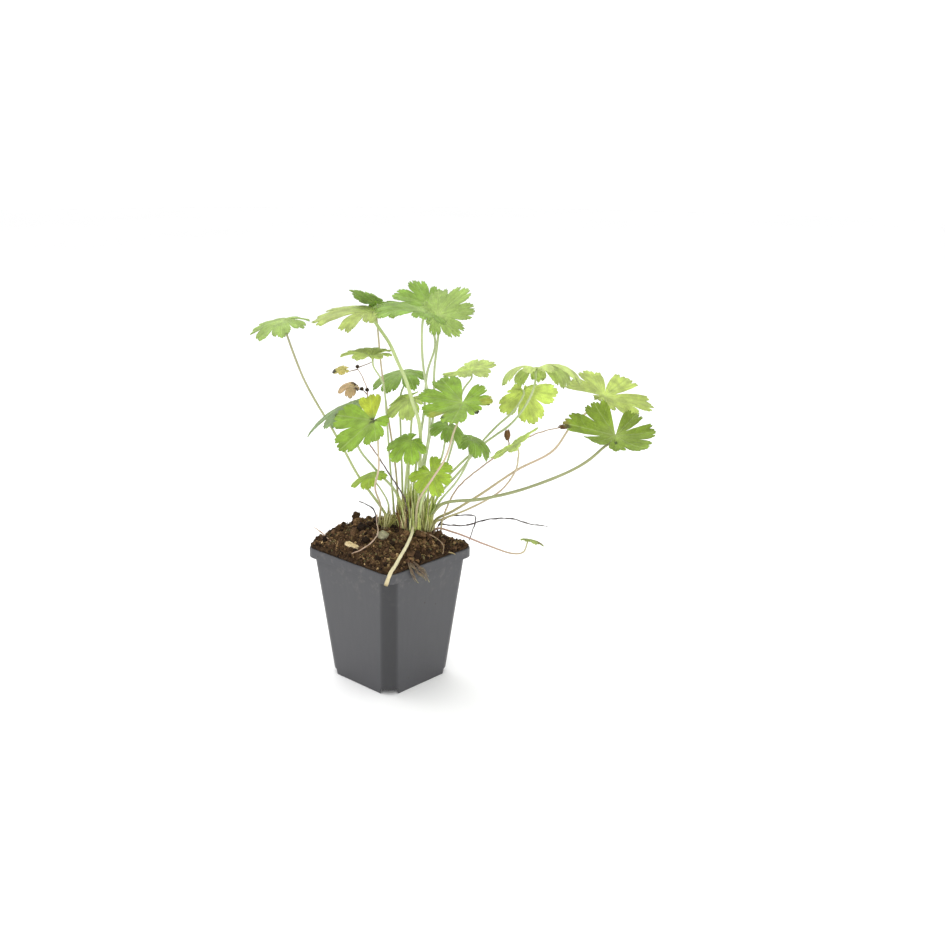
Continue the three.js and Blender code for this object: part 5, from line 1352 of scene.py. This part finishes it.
def makePotMaterial():
    material, tree = newMaterial("greyNurseryPlastic")
    coords = objectCoords(tree)
    broad = noiseOf(tree, coords, 22.0, 3.0)
    # faint upright streaks from the moulding, dust near the rim and specks of soil
    stretched = addNode(tree, "ShaderNodeMapping", {"Vector": coords, "Scale": (1.0, 1.0, 0.06)}).outputs[0]
    streak = noiseOf(tree, stretched, 420.0, 3.0)
    tone = maths(tree, "MULTIPLY", rangeOf(tree, broad, 0.3, 0.7, 0.93, 1.06),
                 rangeOf(tree, streak, 0.3, 0.7, 0.97, 1.03))
    base = mixColour(tree, 1.0, tuple(colour(potFinish["base"])), tone, "MULTIPLY")
    height = addNode(tree, "ShaderNodeSeparateXYZ", {0: coords}).outputs[2]
    nearTop = rangeOf(tree, height, 0.06, 0.097, 0.0, 0.5)
    dust = maths(tree, "MULTIPLY", rangeOf(tree, noiseOf(tree, coords, 160.0, 5.0, 0.7), 0.5, 0.75), nearTop)
    dusty = mixColour(tree, maths(tree, "MULTIPLY", dust, 0.5), base, tuple(colour(potFinish["dust"])))
    cells = addNode(tree, "ShaderNodeTexVoronoi", {"Vector": coords, "Scale": 85.0, "Randomness": 1.0})
    speck = rangeOf(tree, cells.outputs["Distance"], 0.04, 0.075, 1.0, 0.0)
    few = maths(tree, "GREATER_THAN", noiseOf(tree, coords, 40.0, 1.0), 0.56)
    dirtAndShade = mixColour(tree, maths(tree, "MULTIPLY", speck, few), dusty, tuple(colour(potFinish["dirt"])))
    # painted shade: the corner columns are darkened, standing in for the dimmer light that reaches them from
    # in front
    x, y, z = addNode(tree, "ShaderNodeSeparateXYZ", {0: coords}).outputs
    out = maths(tree, "ADD", maths(tree, "ABSOLUTE", x), maths(tree, "ABSOLUTE", y))
    lean = (potSize["topWidth"] - potSize["footWidth"]) / (potSize["height"] - potSize["rimHeight"])
    edge = (potSize["footWidth"] - potSize["wallCorner"][0]) * mm
    paintedColumnShade = rangeOf(tree, maths(tree, "MULTIPLY_ADD", z, -lean, out), edge - 0.0006, edge + 0.0016)
    onWall = maths(tree, "LESS_THAN", z, (potSize["height"] - potSize["rimHeight"]) * mm)
    paintedColumnShade = maths(tree, "MULTIPLY", paintedColumnShade, onWall)
    darker = mixColour(tree, 1.0, dirtAndShade, (potFinish["paintedColumnShade"],) * 3 + (1,), "MULTIPLY")
    dirtAndShade = mixColour(tree, paintedColumnShade, dirtAndShade, darker)
    grain = noiseOf(tree, coords, 1500.0, 2.0)
    bump = addNode(tree, "ShaderNodeBump", {"Strength": 0.12, "Distance": 0.0002, "Height": grain})
    rough = rangeOf(tree, broad, 0.3, 0.7, potFinish["roughness"] - 0.05, potFinish["roughness"] + 0.07)
    body = addNode(tree, "ShaderNodeBsdfPrincipled", {
        "Base Color": dirtAndShade, "Roughness": rough, "Specular IOR Level": 0.45, "Normal": bump.outputs[0]})
    finishWith(tree, body.outputs[0])
    return material


def potSkin():
    # half widths and heights from the foot's underside, up the wall, round the turned-down rim and
    # down inside
    top, wall = potSize["height"], potSize["wall"]
    underRim, rim = top - potSize["rimHeight"], potSize["rimWidth"] / 2
    outer = [(wallHalf(0) - 0.9, 0), (wallHalf(0) - 0.5, 0), (wallHalf(0) - 0.15, 0.15), (wallHalf(0.5), 0.5),
             (wallHalf(1), 1), (wallHalf(underRim - 1), underRim - 1), (wallHalf(underRim), underRim),
             (wallHalf(underRim), top - wall)]
    skirt = [(rim - wall, top - wall), (rim - wall, underRim + 0.3), (rim - wall + 0.3, underRim),
             (rim - 0.3, underRim), (rim - 0.08, underRim + 0.08), (rim, underRim + 0.35),
             (rim, underRim + 0.8), (rim, top - 1.1), (rim, top - 0.7), (rim - 0.2, top - 0.2),
             (rim - 0.7, top), (rim - 1.1, top)]
    inner = [(0.8, top), (0.5, top), (0.12, top - 0.12), (0, top - 0.5), (0, top - 1), (0, underRim),
             (0, wall + 0.5), (0, wall)]  # how far out from the inner wall
    loops = []
    for kind, profile in (("wallCorner", outer), ("rimCorner", skirt), ("wallCorner", inner)):
        cut, bow = potSize[kind]
        for half, z in profile:
            if profile is inner:
                half = wallHalf(z) - wall + half
            inset = (rim if kind == "rimCorner" else wallHalf(z)) - half
            loops.append(squareLoop(half, cut - inset * (2 - math.sqrt(2)), bow, z, 10,
                                    potFinish["sidePoints"]))
    return loops


def prism(outline, low, high):
    # an upright block over an outline in the pot's frame
    mesh = bmesh.new()
    face = mesh.faces.new([mesh.verts.new((x * mm, y * mm, low * mm)) for x, y in outline])
    raised = bmesh.ops.extrude_face_region(mesh, geom=[face])["geom"]
    moved = [item for item in raised if isinstance(item, bmesh.types.BMVert)]
    bmesh.ops.translate(mesh, verts=moved, vec=(0, 0, (high - low) * mm))
    bmesh.ops.recalc_face_normals(mesh, faces=mesh.faces)
    data = bpy.data.meshes.new("block")
    mesh.to_mesh(data)
    mesh.free()
    return bpy.data.objects.new("block", data)


def inCorner(outline, quarter):
    # from distances out along a corner's diagonal and across it
    angle = math.pi / 4 + quarter * math.pi / 2
    turn = np.array([[math.cos(angle), math.sin(angle)], [-math.sin(angle), math.cos(angle)]])
    return np.array(outline) @ turn


def makePot():
    wall, notch, wide = potSize["wall"], potSize["notchHeight"], potSize["notchWidth"] / 2
    start, hole = potSize["notchStart"], potSize["drainRadius"]
    raised = wide + wall
    slant = potSize["raisedMeet"] - raised
    face, half = potSize["raisedFace"], potSize["raisedHalf"]
    bump = [(start - wall, -raised), (slant, -raised), (face, -half), (face, half), (slant, raised),
            (start - wall, raised)]
    beyond, below, above = 46, -4, 12  # outside the pot's corner, under its foot and over its floor
    recess = [(start, -wide), (beyond, -wide), (beyond, wide), (start, wide)]
    turns = np.linspace(0, 2 * math.pi, 24, endpoint=False)
    drain = np.stack([potSize["drainOut"] + hole * np.cos(turns), hole * np.sin(turns)], axis=-1)
    shape = newShape()
    loops = potSkin()
    points = np.vstack([*loops, [(0, 0, 0)], [(0, 0, wall)]])
    addTo(shape, points, ringFaces(len(loops), len(loops[0])), colour(potFinish["base"]))
    piece = makePiece("nurseryPot", shape, [makePotMaterial()], ["pot"])
    helpers = []
    steps = [("UNION", bump, wall / 2, notch + wall), ("DIFFERENCE", recess, below, notch),
             ("DIFFERENCE", drain, below, above)]
    for operation, outline, low, high in steps:
        for quarter in range(4):
            helper = prism(inCorner(outline, quarter), low, high)
            bpy.context.collection.objects.link(helper)
            cut = piece.modifiers.new("corner", "BOOLEAN")
            cut.operation, cut.object, cut.solver = operation, helper, "EXACT"
            helpers.append(helper)
    evaluated = piece.evaluated_get(bpy.context.evaluated_depsgraph_get())
    finished = bpy.data.meshes.new_from_object(evaluated)
    piece.modifiers.clear()
    piece.data = finished
    for helper in helpers:
        bpy.data.objects.remove(helper)
    finished.polygons.foreach_set("use_smooth", [True] * len(finished.polygons))
    finished.set_sharp_from_angle(angle=math.radians(52))


makePot()
print("pot made")

# ---- studio
studio = {"sky": 1.08, "floorTone": 0.93, "floorRadius": 4.0}  # the floor in metres
lamps = [  # places and aims in the plant's frame in mm, power in watts, width in metres
    {"name": "softKey", "at": (-350, 500, 1250), "aim": (30, 0, 160), "power": 11, "size": 1.6},
    {"name": "softFill", "at": (300, -1300, 700), "aim": (30, 0, 140), "power": 8, "size": 1.5},
]


def addLamp(name, at, aim, power, size):
    lamp = bpy.data.lights.new(name, "AREA")
    lamp.shape = "DISK"
    lamp.energy, lamp.size = power, size
    holder = bpy.data.objects.new(name, lamp)
    holder.location = Vector(fromPlant(at)) * mm
    direction = Vector(fromPlant(aim)) * mm - holder.location
    holder.rotation_euler = direction.to_track_quat("-Z", "Y").to_euler()
    bpy.context.collection.objects.link(holder)


def makeStudio():
    scene = bpy.context.scene
    scene.view_settings.view_transform = "Standard"
    world = bpy.data.worlds.new("whiteStudio")
    world.use_nodes = True
    sky = world.node_tree.nodes["Background"]
    sky.inputs["Color"].default_value = (1, 1, 1, 1)
    sky.inputs["Strength"].default_value = studio["sky"]
    scene.world = world
    for lamp in lamps:
        addLamp(**lamp)
    bpy.ops.mesh.primitive_circle_add(vertices=64, radius=studio["floorRadius"], fill_type="NGON",
                                      location=(0, 0, 0))
    floor = bpy.context.object
    floor.name = "floor"
    material, tree = newMaterial("paleFloor")
    cloudy = rangeOf(tree, noiseOf(tree, objectCoords(tree), 3.0), 0.3, 0.7, studio["floorTone"] - 0.01,
                     studio["floorTone"])
    body = addNode(tree, "ShaderNodeBsdfPrincipled",
                   {"Base Color": cloudy, "Roughness": 0.8, "Specular IOR Level": 0.1})
    finishWith(tree, body.outputs[0])
    floor.data.materials.append(material)


makeStudio()
print("studio made")
